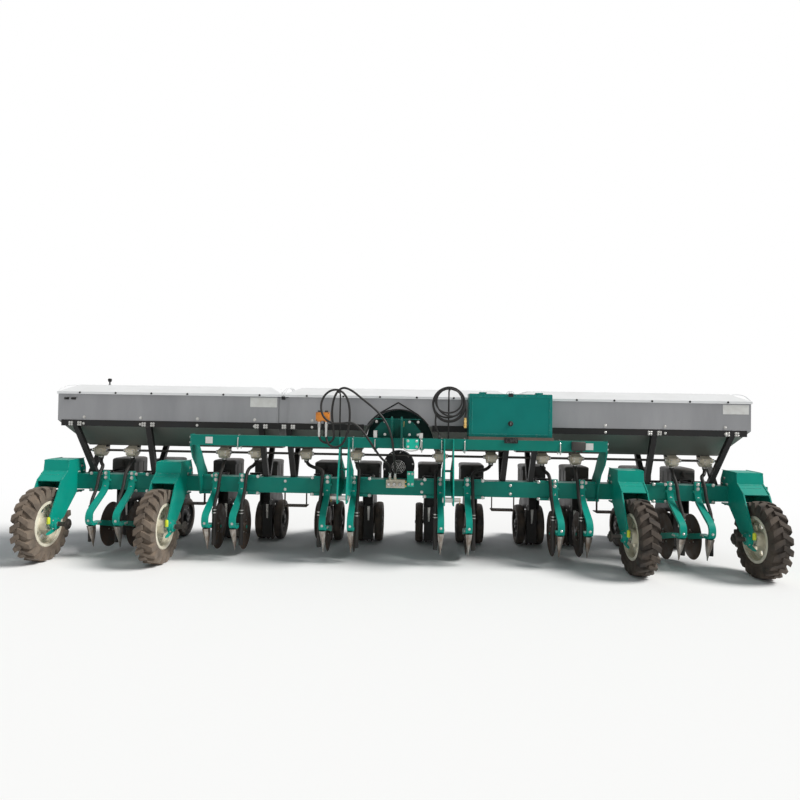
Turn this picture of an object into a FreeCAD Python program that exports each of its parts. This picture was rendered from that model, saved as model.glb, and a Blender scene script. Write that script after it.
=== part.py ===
"""Twelve-row tractor-mounted precision seeder for six wide beds.

Millimetres.  X runs across the machine, -Y points to the tractor, +Z is up.
The ground is Z = 0.  Left and right are as seen from the tractor.
"""
import FreeCAD
import Part
import math
import os

V = FreeCAD.Vector

# Beds and rows
BED_PITCH = 1100.0
BEDS = 6
ROW_OFFSET = 225.0
OPENER_OFFSET = 130.0

# Main toolbar, a square tube
BAR_Y = -255.0
BAR_Z = 700.0
BAR_SIDE = 150.0
BAR_WALL = 8.0
BAR_OVERHANG = 250.0
DRAIN_RADIUS = 15.0

# Ground wheels and the forks that carry them
TYRE_CLEAR = 87.5
TYRE_RADIUS = 342.5
TYRE_WIDTH = 170.0
RIM_RADIUS = 190.5
RIM_HALF = 62.0
FLANGE_RISE = 16.0
RIM_SHEET = 6.0
HUB_RADIUS = 62.0
HUB_HALF = 70.0
RIM_HOLES = 8
RIM_HOLE_RADIUS = 30.0
AXLE_RADIUS = 20.0
AXLE_STUB = 120.0
SPROCKET_RADIUS = 46.0
SPROCKET_WIDTH = 14.0
FORK_INNER = 110.0
FORK_PLATE = 12.0
COVER_RISE = 235.0
COVER_KNEE = 130.0
COVER_CHIN = 45.0
FORK_END_RADIUS = 62.0
BEARING_RADIUS = 50.0
BEARING_DEPTH = 28.0
RUNNING_GAP = 0.4

# Upper frame bar and its end plates
UPPER_SIDE = 95.0
UPPER_WALL = 6.0
UPPER_LEAD = 350.0
UPPER_Z = 1147.5
UPPER_PLATE = 12.0
UPPER_END_GAP = 148.0

# Three-point hitch, category 3
LOWER_SPREAD = 965.0
LOWER_Z = 650.0
LOWER_LEAD = 500.0
LOWER_PIN_RADIUS = 18.3
LOWER_PIN_BODY = 22.0
LOWER_PIN_STUB = 60.0
CHEEK_GAP = 70.0
CHEEK_PLATE = 12.0
MAST_HEIGHT = 685.0
MAST_GAP = 75.0
MAST_PLATE = 15.0
TOP_PIN_RADIUS = 16.2
MAST_PANEL_HALF = 220.0
MAST_PANEL_RISE = 175.0

# Fertiliser hopper in three sections
HOPPER_OVERHANG = 70.0
HOPPER_LEAD = 110.0
HOPPER_DEPTH = 600.0
HOPPER_TOP = 1580.0
HOPPER_FACE = 275.0
HOPPER_BOTTOM = 1050.0
HOPPER_FLOOR = 140.0
HOPPER_END_TAPER = 200.0
HOPPER_WALL = 3.0
JOINT_SETBACK = 30.0
JOINT_WIDTH = 110.0
JOINT_RECESS = 12.0
ARCH_RADIUS = 360.0
ARCH_Z = 1095.0
RAIL_DROP = 55.0
RAIL_SHEET = 8.0
RAIL_LAP = 5.0
ARCH_SHEETS = 8
ARCH_LAP = 3.0
SCRAP = 1.0

# Hopper lids
LID_GAP = 6.0
LID_SHEET = 3.0
LID_SKIRT = 15.0
LID_RISE = 82.0
LID_SLOPE = 150.0
LID_SPACE = 10.0
LID_SEAT = 5.0
HINGE_BACK = 30.0
HINGE_UP = 2.0
HINGE_PIN = 5.0
HINGE_BARREL = 9.0
HINGE_HALF = 30.0
HINGE_EAR = 8.0
HINGE_SIDE_GAP = 3.0
HINGE_INSET = 250.0

# Legs that carry the hopper
LEG_BEDS = (1, 1, 2, 3)
LEG_SHIFTS = (-70.0, 200.0, 220.0, -280.0)
LEG_WIDTH = 50.0
LEG_DEPTH = 50.0
LEG_LEANS = (40.0, 40.0, 40.0, 170.0)
REAR_LEG_SHIFTS = (0.0, 0.0, 0.0, 85.0)
REAR_LEG_LEAN = 40.0

# Toolbox on the upper bar
BOX_LEFT = 670.0
BOX_RIGHT = 1430.0
BOX_HEIGHT = 400.0
BOX_DEPTH = 215.0
BOX_SHEET = 3.0
TRAY_HEIGHT = 25.0
TRAY_SHEET = 4.0
TRAY_MARGIN = 10.0
DOOR_THICK = 12.0
DOOR_GAP = 5.0
DOOR_BARREL = 8.0
DOOR_PIN = 4.0
DOOR_HINGE_HALF = 25.0

# Fertiliser metering
METER_SHIFTS = (0.0, 250.0, -80.0, -10.0, 100.0, 165.0)
METER_WIDTH = 90.0
METER_HEIGHT = 110.0
METER_FRONT = 60.0
METER_DEPTH = 140.0
SHAFT_RADIUS = 12.0
SHAFT_LEAD = 100.0
SHAFT_Z = 1000.0
SHAFT_END = 60.0
HOSE_RADIUS = 17.0

# Fertiliser openers
SHANK_WIDTH = 60.0
SHANK_THICK = 25.0
SHANK_RISE = 35.0
DISC_RADIUS = 220.0
DISC_THICK = 6.0
DISC_SETBACK = 30.0
DISC_Z = 265.0
DISC_PIN = 14.0
DISC_HUB_RADIUS = 55.0
DISC_HUB_HALF = 16.0
ARM_GAP = 4.0
ARM_PLATE = 10.0
BOOT_RADIUS = 19.0
BOOT_LAP = 1.0
BOOT_LEAD = 262.0
BOOT_TOP = 470.0
BOOT_BOTTOM = 150.0
TIP_WIDTH = 30.0

# Seed row units
UNIT_PLATE_HALF = 70.0
UNIT_PLATE = 20.0
LINK_THICK = 12.0
LINK_DEPTH = 40.0
LINK_LENGTH = 305.0
LINK_X = 50.0
FRAME_PLATE = 10.0
FRAME_HALF = 45.0
GAUGE_RADIUS = 215.0
GAUGE_WIDTH = 84.0
GAUGE_OFFSET = 103.0
GAUGE_BACK = 770.0
GAUGE_PIN = 15.0
SEED_DISC_RADIUS = 190.0
SEED_DISC_BACK = 740.0
SEED_DISC_THICK = 4.0
SEED_DISC_HALF = 26.0
SEED_HUB_RADIUS = 30.0
PRESS_RADIUS = 162.5
PRESS_WIDTH = 60.0
PRESS_BACK = 1120.0
PRESS_PIN = 10.0
SEED_BOX_HALF = 120.0
SEED_BOX_TOP = 865.0
SEED_BOX_DEPTH = 310.0
SEED_BOX_BACK = 600.0

# Fan, hydraulic block, steps
FAN_RADIUS = 160.0
FAN_WIDTH = 140.0
FAN_BACK = 280.0
FAN_Z = 870.0
STEP_WIDTH = 240.0
STEP_DEPTH = 140.0
STEP_ARM = 40.0
STEP_SHEET = 8.0
STEP_Z = 415.0
STEP_BACK = 430.0

# Hose hooks, hoses and cable
HOOK_RADIUS = 7.0
HOOK_REACH = 135.0
HOOK_TIP = 30.0
HOOK_BEND = 0.3
LEFT_HOOK_X = -535.0
LEFT_HOOK_Z = 1608.3
RIGHT_HOOK_X = 478.0
RIGHT_HOOK_Z = 1645.0
HOLDER_X = -682.0
HOLDER_WIDTH = 124.0
HOLDER_DEPTH = 44.0
HOLDER_Z = 1344.0
HOLDER_HEIGHT = 80.0
COUPLER_RADIUS = 13.0
COUPLER_LENGTH = 104.0
HYDRAULIC_RADIUS = 10.0
CABLE_RADIUS = 8.0
CABLE_REACH = 85.0
COIL_RADIUS = 132.0
COIL_THICK = 32.0
PLUG_RADIUS = 13.0
PLUG_LENGTH = 92.0
REST_GAP = 0.3
FIRST_HOSE = [(-650, -690, 1240), (-650, -690, 1187), (-625, -714, 1124), (-556, -717, 1098),
              (-486, -717, 1138), (-443, -717, 1255), (-428, -717, 1390), (-440, -717, 1520),
              (-487, -717, 1610), (-575, -717, 1642), (-660, -722, 1595), (-700, -735, 1500),
              (-680, -748, 1390), (-600, -752, 1322), (-500, -752, 1325), (-400, -748, 1340),
              (-310, -742, 1265), (-225, -735, 1140), (-155, -690, 1030), (-112, -600, 975),
              (-86, -520, 945), (-74, -455, 925), (-70, -405, 893), (-70, -375, 848),
              (-70, -375, 805)]
SECOND_HOSE = [(-715, -690, 1240), (-715, -690, 1183), (-674, -684, 1142), (-616, -684, 1142),
               (-576, -684, 1183), (-582, -685, 1265), (-598, -685, 1365), (-600, -685, 1475),
               (-575, -685, 1590), (-510, -685, 1662), (-420, -690, 1632), (-330, -700, 1560),
               (-230, -715, 1485), (-130, -738, 1395), (-62, -752, 1280), (-32, -752, 1160),
               (-24, -715, 1060), (-20, -640, 1000), (-20, -550, 965), (-20, -470, 930),
               (-20, -408, 893), (-20, -375, 848), (-20, -375, 805)]
CABLE_DOWN = [(374, -690, 1442), (352, -690, 1360), (358, -680, 1300), (380, -655, 1262),
              (392, -640, 1236), (392, -640, 1207)]
CABLE_TAIL = [(614, -690, 1500), (636, -690, 1452), (626, -690, 1416), (626, -690, 1393)]
GLAND_RADIUS = 12.0

# Places worked out from the sizes above
BAR_HALF = BEDS / 2 * BED_PITCH + BAR_OVERHANG
BAR_FRONT = BAR_Y - BAR_SIDE / 2
BAR_REAR = BAR_Y + BAR_SIDE / 2
BAR_TOP = BAR_Z + BAR_SIDE / 2
BAR_BOTTOM = BAR_Z - BAR_SIDE / 2
BED_CENTRES = [BED_PITCH * (i - (BEDS - 1) / 2) for i in range(BEDS)]
ROWS = [bed + side * ROW_OFFSET for bed in BED_CENTRES for side in (-1, 1)]
OPENERS = [bed + side * OPENER_OFFSET for bed in BED_CENTRES for side in (-1, 1)]
WINGS = {"left": (0, 4), "centre": (4, 8), "right": (8, 12)}
WHEEL_PLACES = [n * BED_PITCH for n in (-3, -2, 2, 3)]
AXLE_Y = BAR_Y - TYRE_RADIUS - TYRE_CLEAR
FORK_OUTER = FORK_INNER + FORK_PLATE
UPPER_Y = BAR_Y - UPPER_LEAD
UPPER_FRONT = UPPER_Y - UPPER_SIDE / 2
UPPER_REAR = UPPER_Y + UPPER_SIDE / 2
UPPER_TOP = UPPER_Z + UPPER_SIDE / 2
UPPER_BOTTOM = UPPER_Z - UPPER_SIDE / 2
UPPER_HALF = 2 * BED_PITCH - FORK_OUTER - UPPER_END_GAP - UPPER_PLATE
LOWER_Y = BAR_Y - LOWER_LEAD
TOP_PIN_Z = LOWER_Z + MAST_HEIGHT
TOP_PIN_Y = UPPER_FRONT - 42.0
HOPPER_HALF = BEDS / 2 * BED_PITCH + HOPPER_OVERHANG
HOPPER_FRONT = BAR_Y - HOPPER_LEAD
HOPPER_REAR = HOPPER_FRONT + HOPPER_DEPTH
HOPPER_Y = (HOPPER_FRONT + HOPPER_REAR) / 2
HOPPER_KNEE = HOPPER_TOP - HOPPER_FACE
JOINT_IN = BED_PITCH - JOINT_SETBACK
JOINT_OUT = JOINT_IN + JOINT_WIDTH
RAIL_BOTTOM = HOPPER_KNEE - RAIL_DROP
SLOPE = (HOPPER_DEPTH - HOPPER_FLOOR) / 2 / (HOPPER_KNEE - HOPPER_BOTTOM)
RAIL_DEPTH = RAIL_SHEET + math.floor(SLOPE * (RAIL_DROP - RAIL_SHEET))
LEG_PLACES = [bed * BED_PITCH + shift for bed, shift in zip(LEG_BEDS, LEG_SHIFTS)]
HINGE_Y = HOPPER_REAR + HINGE_BACK
HINGE_Z = HOPPER_TOP + HINGE_UP
TRAY_TOP = UPPER_TOP + TRAY_HEIGHT
BOX_FRONT = UPPER_Y + DOOR_GAP
BOX_TOP = TRAY_TOP + BOX_HEIGHT
METERS = []
for place, shift in zip(OPENERS[BEDS:], METER_SHIFTS):
    METERS.extend((-place - shift, place + shift))
METERS.sort()
SHAFT_Y = BAR_Y + SHAFT_LEAD
METER_BOTTOM = HOPPER_BOTTOM - METER_HEIGHT
DISC_Y = BAR_Y + DISC_SETBACK
GAUGE_Y = BAR_Y + GAUGE_BACK
SEED_DISC_Y = BAR_Y + SEED_DISC_BACK
PRESS_Y = BAR_Y + PRESS_BACK
COIL_Y = UPPER_Y - CABLE_REACH
COIL_Z = RIGHT_HOOK_Z + HOOK_RADIUS + REST_GAP + COIL_THICK - COIL_RADIUS


def box(x0, x1, y0, y1, z0, z1):
    """Block between two corners."""
    return Part.makeBox(x1 - x0, y1 - y0, z1 - z0, V(x0, y0, z0))


def side_plate(outline, x0, x1):
    """Plate square to X: (y, z) points drawn from x0 to x1."""
    points = [V(x0, y, z) for y, z in outline]
    face = Part.Face(Part.makePolygon(points + points[:1]))
    return face.extrude(V(x1 - x0, 0, 0))


def round_ended_plate(outline, y, z, radius, x0, x1):
    """Plate square to X whose outline closes with an arc under the point y, z."""
    points = [V(x0, *point) for point in outline]
    low = V(x0, y, z - radius)
    edges = [Part.LineSegment(a, b).toShape() for a, b in zip(points, points[1:])]
    edges.append(Part.Arc(points[-1], low, points[0]).toShape())
    return Part.Face(Part.Wire(edges)).extrude(V(x1 - x0, 0, 0))


def front_plate(outline, y0, y1):
    """Plate square to Y: (x, z) points drawn from y0 to y1."""
    points = [V(x, y0, z) for x, z in outline]
    face = Part.Face(Part.makePolygon(points + points[:1]))
    return face.extrude(V(0, y1 - y0, 0))


def rod_x(x0, x1, y, z, radius):
    """Round bar along X."""
    return Part.makeCylinder(radius, x1 - x0, V(x0, y, z), V(1, 0, 0))


def rod(start, end, radius):
    """Round bar between two points."""
    return Part.makeCylinder(radius, (end - start).Length, start, end - start)


def turned(profile, x, y, z):
    """Solid of (offset, radius) points turned about an X axis at y, z."""
    points = [V(x + offset, y, z + radius) for offset, radius in profile]
    face = Part.Face(Part.makePolygon(points + points[:1]))
    return face.revolve(V(x, y, z), V(1, 0, 0), 360)


def rectangle(x0, x1, y0, y1, z):
    """Level closed wire."""
    corners = [V(x0, y0, z), V(x1, y0, z), V(x1, y1, z), V(x0, y1, z)]
    return Part.makePolygon(corners + corners[:1])


def tapered(lower, upper):
    """Solid between two level rectangles, each (x0, x1, y0, y1, z)."""
    return Part.makeLoft([rectangle(*lower), rectangle(*upper)], True, True)


def joined(first, *others):
    """One solid made of pieces that overlap or share faces."""
    return first.multiFuse(list(others)).removeSplitter()


def half_space(point, normal):
    """Large block on the side of a plane that its normal points to."""
    size = 20000
    block = Part.makeBox(size, size, size, V(-size / 2, -size / 2, 0))
    block.Placement = FreeCAD.Placement(point, FreeCAD.Rotation(V(0, 0, 1), normal))
    return block


def panels(outer, inner):
    """Flat sheets between two convex solids, the largest running past the others."""
    solids = []
    rest = outer
    for face in sorted(inner.Faces, key=lambda one: -one.Area):
        place = face.CenterOfMass
        normal = face.normalAt(0, 0)
        if normal.dot(place - inner.CenterOfMass) < 0:
            normal = -normal
        block = half_space(place, normal)
        sheet = rest.common(block)
        if sheet.Volume > SCRAP:
            solids.extend(sheet.Solids)
            rest = rest.cut(block)
    return solids


def split_along_x(solids, places):
    """The same solids cut square to X at each place."""
    cut = []
    for solid in solids:
        for x0, x1 in zip(places, places[1:]):
            piece = solid.common(box(x0, x1, -5000, 5000, -5000, 5000))
            cut.extend(one for one in piece.Solids if one.Volume > SCRAP)
    return cut


def rounded_path(points, share=0.45):
    """Straight runs with a tangent arc at each inner point; also the radii."""
    edges = []
    radii = []
    start = points[0]
    for before, corner, after in zip(points, points[1:], points[2:]):
        into = corner - before
        away = after - corner
        turn = into.getAngle(away)
        back = share * min(into.Length, away.Length)
        radius = back / math.tan(turn / 2)
        into.normalize()
        away.normalize()
        middle = away - into
        middle.normalize()
        first = corner - into * back
        last = corner + away * back
        depth = radius / math.cos(turn / 2) - radius
        edges.append(Part.LineSegment(start, first).toShape())
        edges.append(Part.Arc(first, corner + middle * depth, last).toShape())
        radii.append(radius)
        start = last
    edges.append(Part.LineSegment(start, points[-1]).toShape())
    return Part.Wire(edges), radii


def round_tube(points, radius, name="", share=0.45):
    """Solid round hose along a rounded path."""
    path, radii = rounded_path(points, share)
    circle = Part.makeCircle(radius, points[0], points[1] - points[0])
    sweep = Part.BRepOffsetAPI.MakePipeShell(path)
    sweep.setFrenetMode(False)
    sweep.add(Part.Wire([circle]), False, False)
    sweep.build()
    sweep.makeSolid()
    hose = sweep.shape()
    if name:
        share = hose.Volume / (math.pi * radius ** 2 * path.Length)
        sizes = " ".join(f"{size:.0f}" for size in radii)
        print(f"{name}: length {path.Length:.0f}, radii {sizes}, volume ratio {share:.4f}")
    return hose


def flat_bar(points, x, width, thick):
    """Flat bar bent along (y, z) points, its width across X."""
    path, _ = rounded_path([V(x, y, z) for y, z in points])
    along = V(0, points[1][0] - points[0][0], points[1][1] - points[0][1])
    along.normalize()
    across = V(1, 0, 0).cross(along) * (thick / 2)
    start = V(x, *points[0])
    half = V(width / 2, 0, 0)
    corners = [start - half - across, start + half - across,
               start + half + across, start - half + across]
    sweep = Part.BRepOffsetAPI.MakePipeShell(path)
    sweep.setBiNormalMode(V(1, 0, 0))
    sweep.add(Part.makePolygon(corners + corners[:1]), False, False)
    sweep.build()
    sweep.makeSolid()
    return sweep.shape()


def toolbar():
    """Hollow main bar with end plates that have a drain hole."""
    half = BAR_SIDE / 2
    bore = half - BAR_WALL
    inner = BAR_HALF - BAR_WALL
    bar = box(-BAR_HALF, BAR_HALF, BAR_FRONT, BAR_REAR, BAR_BOTTOM, BAR_TOP)
    hollow = box(-inner, inner, BAR_Y - bore, BAR_Y + bore, BAR_Z - bore, BAR_Z + bore)
    drain = rod_x(-BAR_HALF, BAR_HALF, BAR_Y, BAR_Z, DRAIN_RADIUS)
    return [bar.cut(hollow).cut(drain)]


def wheel_fork(x):
    """Two cheeks over the toolbar, a stepped cover between them, two bearings."""
    crown = 2 * TYRE_RADIUS
    top = crown + COVER_RISE
    knee = (BAR_Y - 235, crown + COVER_KNEE)
    brow = (BAR_Y - 220, top)
    chin = (AXLE_Y + 90, crown + COVER_CHIN)
    outline = [(AXLE_Y + FORK_END_RADIUS, TYRE_RADIUS), (AXLE_Y + 145, TYRE_RADIUS + 43),
               (BAR_FRONT, BAR_BOTTOM - 25), (BAR_FRONT, BAR_TOP), (BAR_REAR, BAR_TOP),
               (BAR_REAR, BAR_TOP + 55), (BAR_Y + 30, top), brow, knee, chin,
               (AXLE_Y - FORK_END_RADIUS - 8, TYRE_RADIUS + 78),
               (AXLE_Y - FORK_END_RADIUS, TYRE_RADIUS)]
    pieces = []
    for side in (-1, 1):
        inner = x + side * FORK_INNER
        outer = x + side * FORK_OUTER
        low, high = sorted((inner, outer))
        pieces.append(round_ended_plate(outline, AXLE_Y, TYRE_RADIUS, FORK_END_RADIUS, low, high))
        low, high = sorted((outer, outer + side * BEARING_DEPTH))
        pieces.append(rod_x(low, high, AXLE_Y, TYRE_RADIUS, BEARING_RADIUS))
    cover = [(BAR_Y + 30, top), brow, knee, chin, (chin[0] + 7, chin[1] - 8),
             (knee[0] + 11, knee[1] - 4), (brow[0] + 9, top - 10), (BAR_Y + 30, top - 10)]
    pieces.append(side_plate(cover, x - FORK_INNER, x + FORK_INNER))
    reach = FORK_OUTER + BEARING_DEPTH
    bore = rod_x(x - reach, x + reach, AXLE_Y, TYRE_RADIUS, AXLE_RADIUS + RUNNING_GAP)
    return [joined(*pieces).cut(bore)]


def tyre(x):
    """Closed ring: the outer shape of the lugs, with its beads on the rim."""
    bead = RIM_HALF - 1
    half = TYRE_WIDTH / 2
    side = [(bead, RIM_RADIUS + 0.2), (bead, RIM_RADIUS + 22), (half, RIM_RADIUS + 70),
            (half, RIM_RADIUS + 110), (half - 8, TYRE_RADIUS - 18), (half - 22, TYRE_RADIUS - 2),
            (half - 40, TYRE_RADIUS)]
    profile = side + [(-offset, radius) for offset, radius in reversed(side)]
    return [turned(profile, x, AXLE_Y, TYRE_RADIUS)]


def rim(x):
    """Rim barrel, dished disc with holes, hub, axle and drive sprocket."""
    toward = -1 if x > 0 else 1
    flange = RIM_RADIUS + FLANGE_RISE
    inside = RIM_RADIUS - RIM_SHEET
    wide = RIM_HALF + 8
    barrel = turned([(-wide, flange), (-RIM_HALF, flange), (-RIM_HALF, RIM_RADIUS),
                     (RIM_HALF, RIM_RADIUS), (RIM_HALF, flange), (wide, flange),
                     (wide, inside), (-wide, inside)], x, AXLE_Y, TYRE_RADIUS)
    disc = rod_x(x - RIM_SHEET, x + RIM_SHEET, AXLE_Y, TYRE_RADIUS, inside + 1)
    for number in range(RIM_HOLES):
        angle = 2 * math.pi * number / RIM_HOLES
        reach = (inside + HUB_RADIUS) / 2
        hole = rod_x(x - 20, x + 20, AXLE_Y + reach * math.cos(angle),
                     TYRE_RADIUS + reach * math.sin(angle), RIM_HOLE_RADIUS)
        disc = disc.cut(hole)
    hub = rod_x(x - HUB_HALF, x + HUB_HALF, AXLE_Y, TYRE_RADIUS, HUB_RADIUS)
    reach = FORK_OUTER + BEARING_DEPTH
    low, high = sorted((x + toward * (reach + AXLE_STUB), x - toward * (reach + 8)))
    axle = rod_x(low, high, AXLE_Y, TYRE_RADIUS, AXLE_RADIUS)
    end = x + toward * (reach + AXLE_STUB - 30)
    low, high = sorted((end, end + toward * SPROCKET_WIDTH))
    sprocket = rod_x(low, high, AXLE_Y, TYRE_RADIUS, SPROCKET_RADIUS)
    return [joined(barrel, disc, hub, axle, sprocket)]


def upper_bar():
    """Smaller square tube ahead of and above the toolbar."""
    bar = box(-UPPER_HALF, UPPER_HALF, UPPER_FRONT, UPPER_REAR, UPPER_BOTTOM, UPPER_TOP)
    hollow = box(-UPPER_HALF, UPPER_HALF, UPPER_FRONT + UPPER_WALL, UPPER_REAR - UPPER_WALL,
                 UPPER_BOTTOM + UPPER_WALL, UPPER_TOP - UPPER_WALL)
    return [bar.cut(hollow)]


def bar_end_plates():
    """Curved plates from the ends of the upper bar down over the toolbar."""
    outline = [(UPPER_FRONT, UPPER_TOP + 6), (UPPER_FRONT, UPPER_BOTTOM - 15),
               (UPPER_FRONT + 55, 980), (BAR_FRONT - 145, 870), (BAR_FRONT - 75, 750),
               (BAR_FRONT - 50, 660), (BAR_FRONT - 45, BAR_BOTTOM - 20),
               (BAR_FRONT, BAR_BOTTOM - 20), (BAR_FRONT, BAR_TOP), (BAR_REAR - 15, BAR_TOP),
               (BAR_REAR - 25, BAR_TOP + 45), (BAR_Y - 30, 900), (BAR_Y - 110, 1010),
               (BAR_Y - 215, 1120), (UPPER_REAR, UPPER_TOP + 6)]
    return [side_plate(outline, UPPER_HALF, UPPER_HALF + UPPER_PLATE),
            side_plate(outline, -UPPER_HALF - UPPER_PLATE, -UPPER_HALF)]


def hitch_plates():
    """Twin cheeks at each lower link, from the toolbar up to the upper bar."""
    clear = BAR_FRONT - SHANK_THICK - 6
    over = BAR_TOP + SHANK_RISE + 10
    outline = [(clear, BAR_BOTTOM + 60), (LOWER_Y + 70, LOWER_Z - 50),
               (LOWER_Y - 35, LOWER_Z - 50), (LOWER_Y - 55, LOWER_Z), (LOWER_Y - 40, LOWER_Z + 90),
               (UPPER_FRONT - 35, UPPER_BOTTOM), (UPPER_FRONT - 35, UPPER_TOP),
               (UPPER_FRONT, UPPER_TOP), (UPPER_FRONT, UPPER_BOTTOM), (UPPER_REAR, UPPER_BOTTOM),
               (UPPER_REAR + 10, UPPER_BOTTOM - 100), (BAR_Y, over + 30), (BAR_Y, BAR_TOP),
               (BAR_FRONT + 5, BAR_TOP), (BAR_FRONT + 5, over), (clear, over)]
    half = CHEEK_GAP / 2
    solids = []
    for x in (-LOWER_SPREAD / 2, LOWER_SPREAD / 2):
        left = side_plate(outline, x - half - CHEEK_PLATE, x - half)
        right = side_plate(outline, x + half, x + half + CHEEK_PLATE)
        web = box(x - half, x + half, UPPER_FRONT, UPPER_REAR, 890, 902)
        bore = rod_x(x - 100, x + 100, LOWER_Y, LOWER_Z, LOWER_PIN_BODY + 0.2)
        solids.append(joined(left, right, web).cut(bore))
    return solids


def hitch_pins():
    """Lower link pins through the cheeks, each with a shoulder and a collar."""
    solids = []
    near = CHEEK_GAP / 2 + CHEEK_PLATE
    for side in (-1, 1):
        x = side * LOWER_SPREAD / 2
        low, high = sorted((x + side * near, x + side * (near + LOWER_PIN_STUB)))
        stub = rod_x(low, high, LOWER_Y, LOWER_Z, LOWER_PIN_RADIUS)
        low, high = sorted((x - side * (near + 12), x + side * near))
        body = rod_x(low, high, LOWER_Y, LOWER_Z, LOWER_PIN_BODY)
        low, high = sorted((x - side * near, x - side * (near + 8)))
        head = rod_x(low, high, LOWER_Y, LOWER_Z, LOWER_PIN_BODY + 6)
        solids.append(joined(stub, body, head))
    return solids


def top_mast():
    """Two cheeks with the top link hole, and the panel behind them."""
    outline = [(UPPER_FRONT - 32, UPPER_BOTTOM), (UPPER_FRONT, UPPER_BOTTOM),
               (UPPER_FRONT, UPPER_TOP), (UPPER_REAR - 12, UPPER_TOP),
               (UPPER_REAR - 12, TOP_PIN_Z - 20), (TOP_PIN_Y + 30, TOP_PIN_Z + 55),
               (TOP_PIN_Y - 15, TOP_PIN_Z + 60), (TOP_PIN_Y - 38, TOP_PIN_Z + 30),
               (TOP_PIN_Y - 38, TOP_PIN_Z - 40)]
    half = MAST_GAP / 2
    panel_top = UPPER_TOP + MAST_PANEL_RISE
    wide = MAST_PANEL_HALF
    panel = front_plate([(-wide, UPPER_TOP), (wide, UPPER_TOP), (wide, panel_top - 110),
                         (wide - 70, panel_top - 30), (wide - 150, panel_top),
                         (150 - wide, panel_top), (70 - wide, panel_top - 30),
                         (-wide, panel_top - 110)], UPPER_REAR - 12, UPPER_REAR)
    left = side_plate(outline, -half - MAST_PLATE, -half)
    right = side_plate(outline, half, half + MAST_PLATE)
    bore = rod_x(-100, 100, TOP_PIN_Y, TOP_PIN_Z, TOP_PIN_RADIUS)
    return [joined(panel, left, right).cut(bore)]


def hopper_shape(x0, x1, taper0, taper1, inset, top):
    """Upright part and tapered part of a trough; tapers are the end slopes."""
    floor = HOPPER_FLOOR / 2 - inset
    front = HOPPER_FRONT + inset
    rear = HOPPER_REAR - inset
    upper = box(x0 + inset, x1 - inset, front, rear, HOPPER_KNEE, top)
    lower = tapered((x0 + inset + taper0, x1 - inset - taper1, HOPPER_Y - floor,
                     HOPPER_Y + floor, HOPPER_BOTTOM + inset),
                    (x0 + inset, x1 - inset, front, rear, HOPPER_KNEE))
    return upper, lower


def hopper_section(x0, x1, taper0=0.0, taper1=0.0):
    """Open-topped trough of flat sheets."""
    outside = hopper_shape(x0, x1, taper0, taper1, 0, HOPPER_TOP)
    inside = hopper_shape(x0, x1, taper0, taper1, HOPPER_WALL, HOPPER_TOP + 10)
    return panels(outside[0], inside[0]) + panels(outside[1], inside[1])


def tunnel(radius):
    """Round-topped passage through the hopper."""
    front = HOPPER_FRONT - 10
    rear = HOPPER_REAR + 10
    crown = rod(V(0, front, ARCH_Z), V(0, rear, ARCH_Z), radius)
    return joined(crown, box(-radius, radius, front, rear, HOPPER_BOTTOM - 10, ARCH_Z))


def arched_section(half):
    """Centre section: sheets cut round the tunnel, and the tunnel's own sheets."""
    passage = tunnel(ARCH_RADIUS)
    sheets = [sheet.cut(passage) for sheet in hopper_section(-half, half)]
    places = (-half, -ARCH_RADIUS, -ARCH_RADIUS / 2, 0, ARCH_RADIUS / 2, ARCH_RADIUS, half)
    solids = split_along_x(sheets, places)
    room = joined(*hopper_shape(-half, half, 0, 0, HOPPER_WALL, HOPPER_TOP))
    lining = tunnel(ARCH_RADIUS + HOPPER_WALL).cut(passage).common(room)
    far = 2 * ARCH_RADIUS
    turn = math.pi / ARCH_SHEETS
    for number in range(ARCH_SHEETS):
        rays = [(far * math.cos(angle), ARCH_Z + far * math.sin(angle))
                for angle in (number * turn, (number + 1) * turn)]
        wedge = front_plate([(0, ARCH_Z), *rays], HOPPER_FRONT, HOPPER_REAR)
        solids.extend(lining.common(wedge).Solids)
    for low, high in ((-far, 0), (0, far)):
        foot = box(low, high, HOPPER_FRONT, HOPPER_REAR, HOPPER_BOTTOM, ARCH_Z)
        solids.extend(lining.common(foot).Solids)
    return solids


def arch_back():
    """Half-round sheet over the rear end of the tunnel, lapped on to the hopper's rear face."""
    radius = ARCH_RADIUS + ARCH_LAP
    rear = HOPPER_REAR + HOPPER_WALL
    disc = rod(V(0, HOPPER_REAR, ARCH_Z), V(0, rear, ARCH_Z), radius)
    return [disc.common(box(-radius, radius, HOPPER_REAR, rear, ARCH_Z, HOPPER_TOP))]


def joint_strips():
    """Recessed bands that close the space between hopper sections."""
    solids = []
    front = HOPPER_FRONT + JOINT_RECESS
    rear = HOPPER_REAR - JOINT_RECESS
    top = HOPPER_TOP - LID_SKIRT - LID_GAP
    inset = JOINT_RECESS + HOPPER_WALL
    for x0, x1 in ((-JOINT_OUT, -JOINT_IN), (JOINT_IN, JOINT_OUT)):
        outer = box(x0, x1, front, rear, HOPPER_KNEE, top)
        inner = box(x0, x1, HOPPER_FRONT + inset, HOPPER_REAR - inset, HOPPER_KNEE + HOPPER_WALL,
                    top - HOPPER_WALL)
        solids.extend(panels(outer, inner))
    return solids


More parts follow.
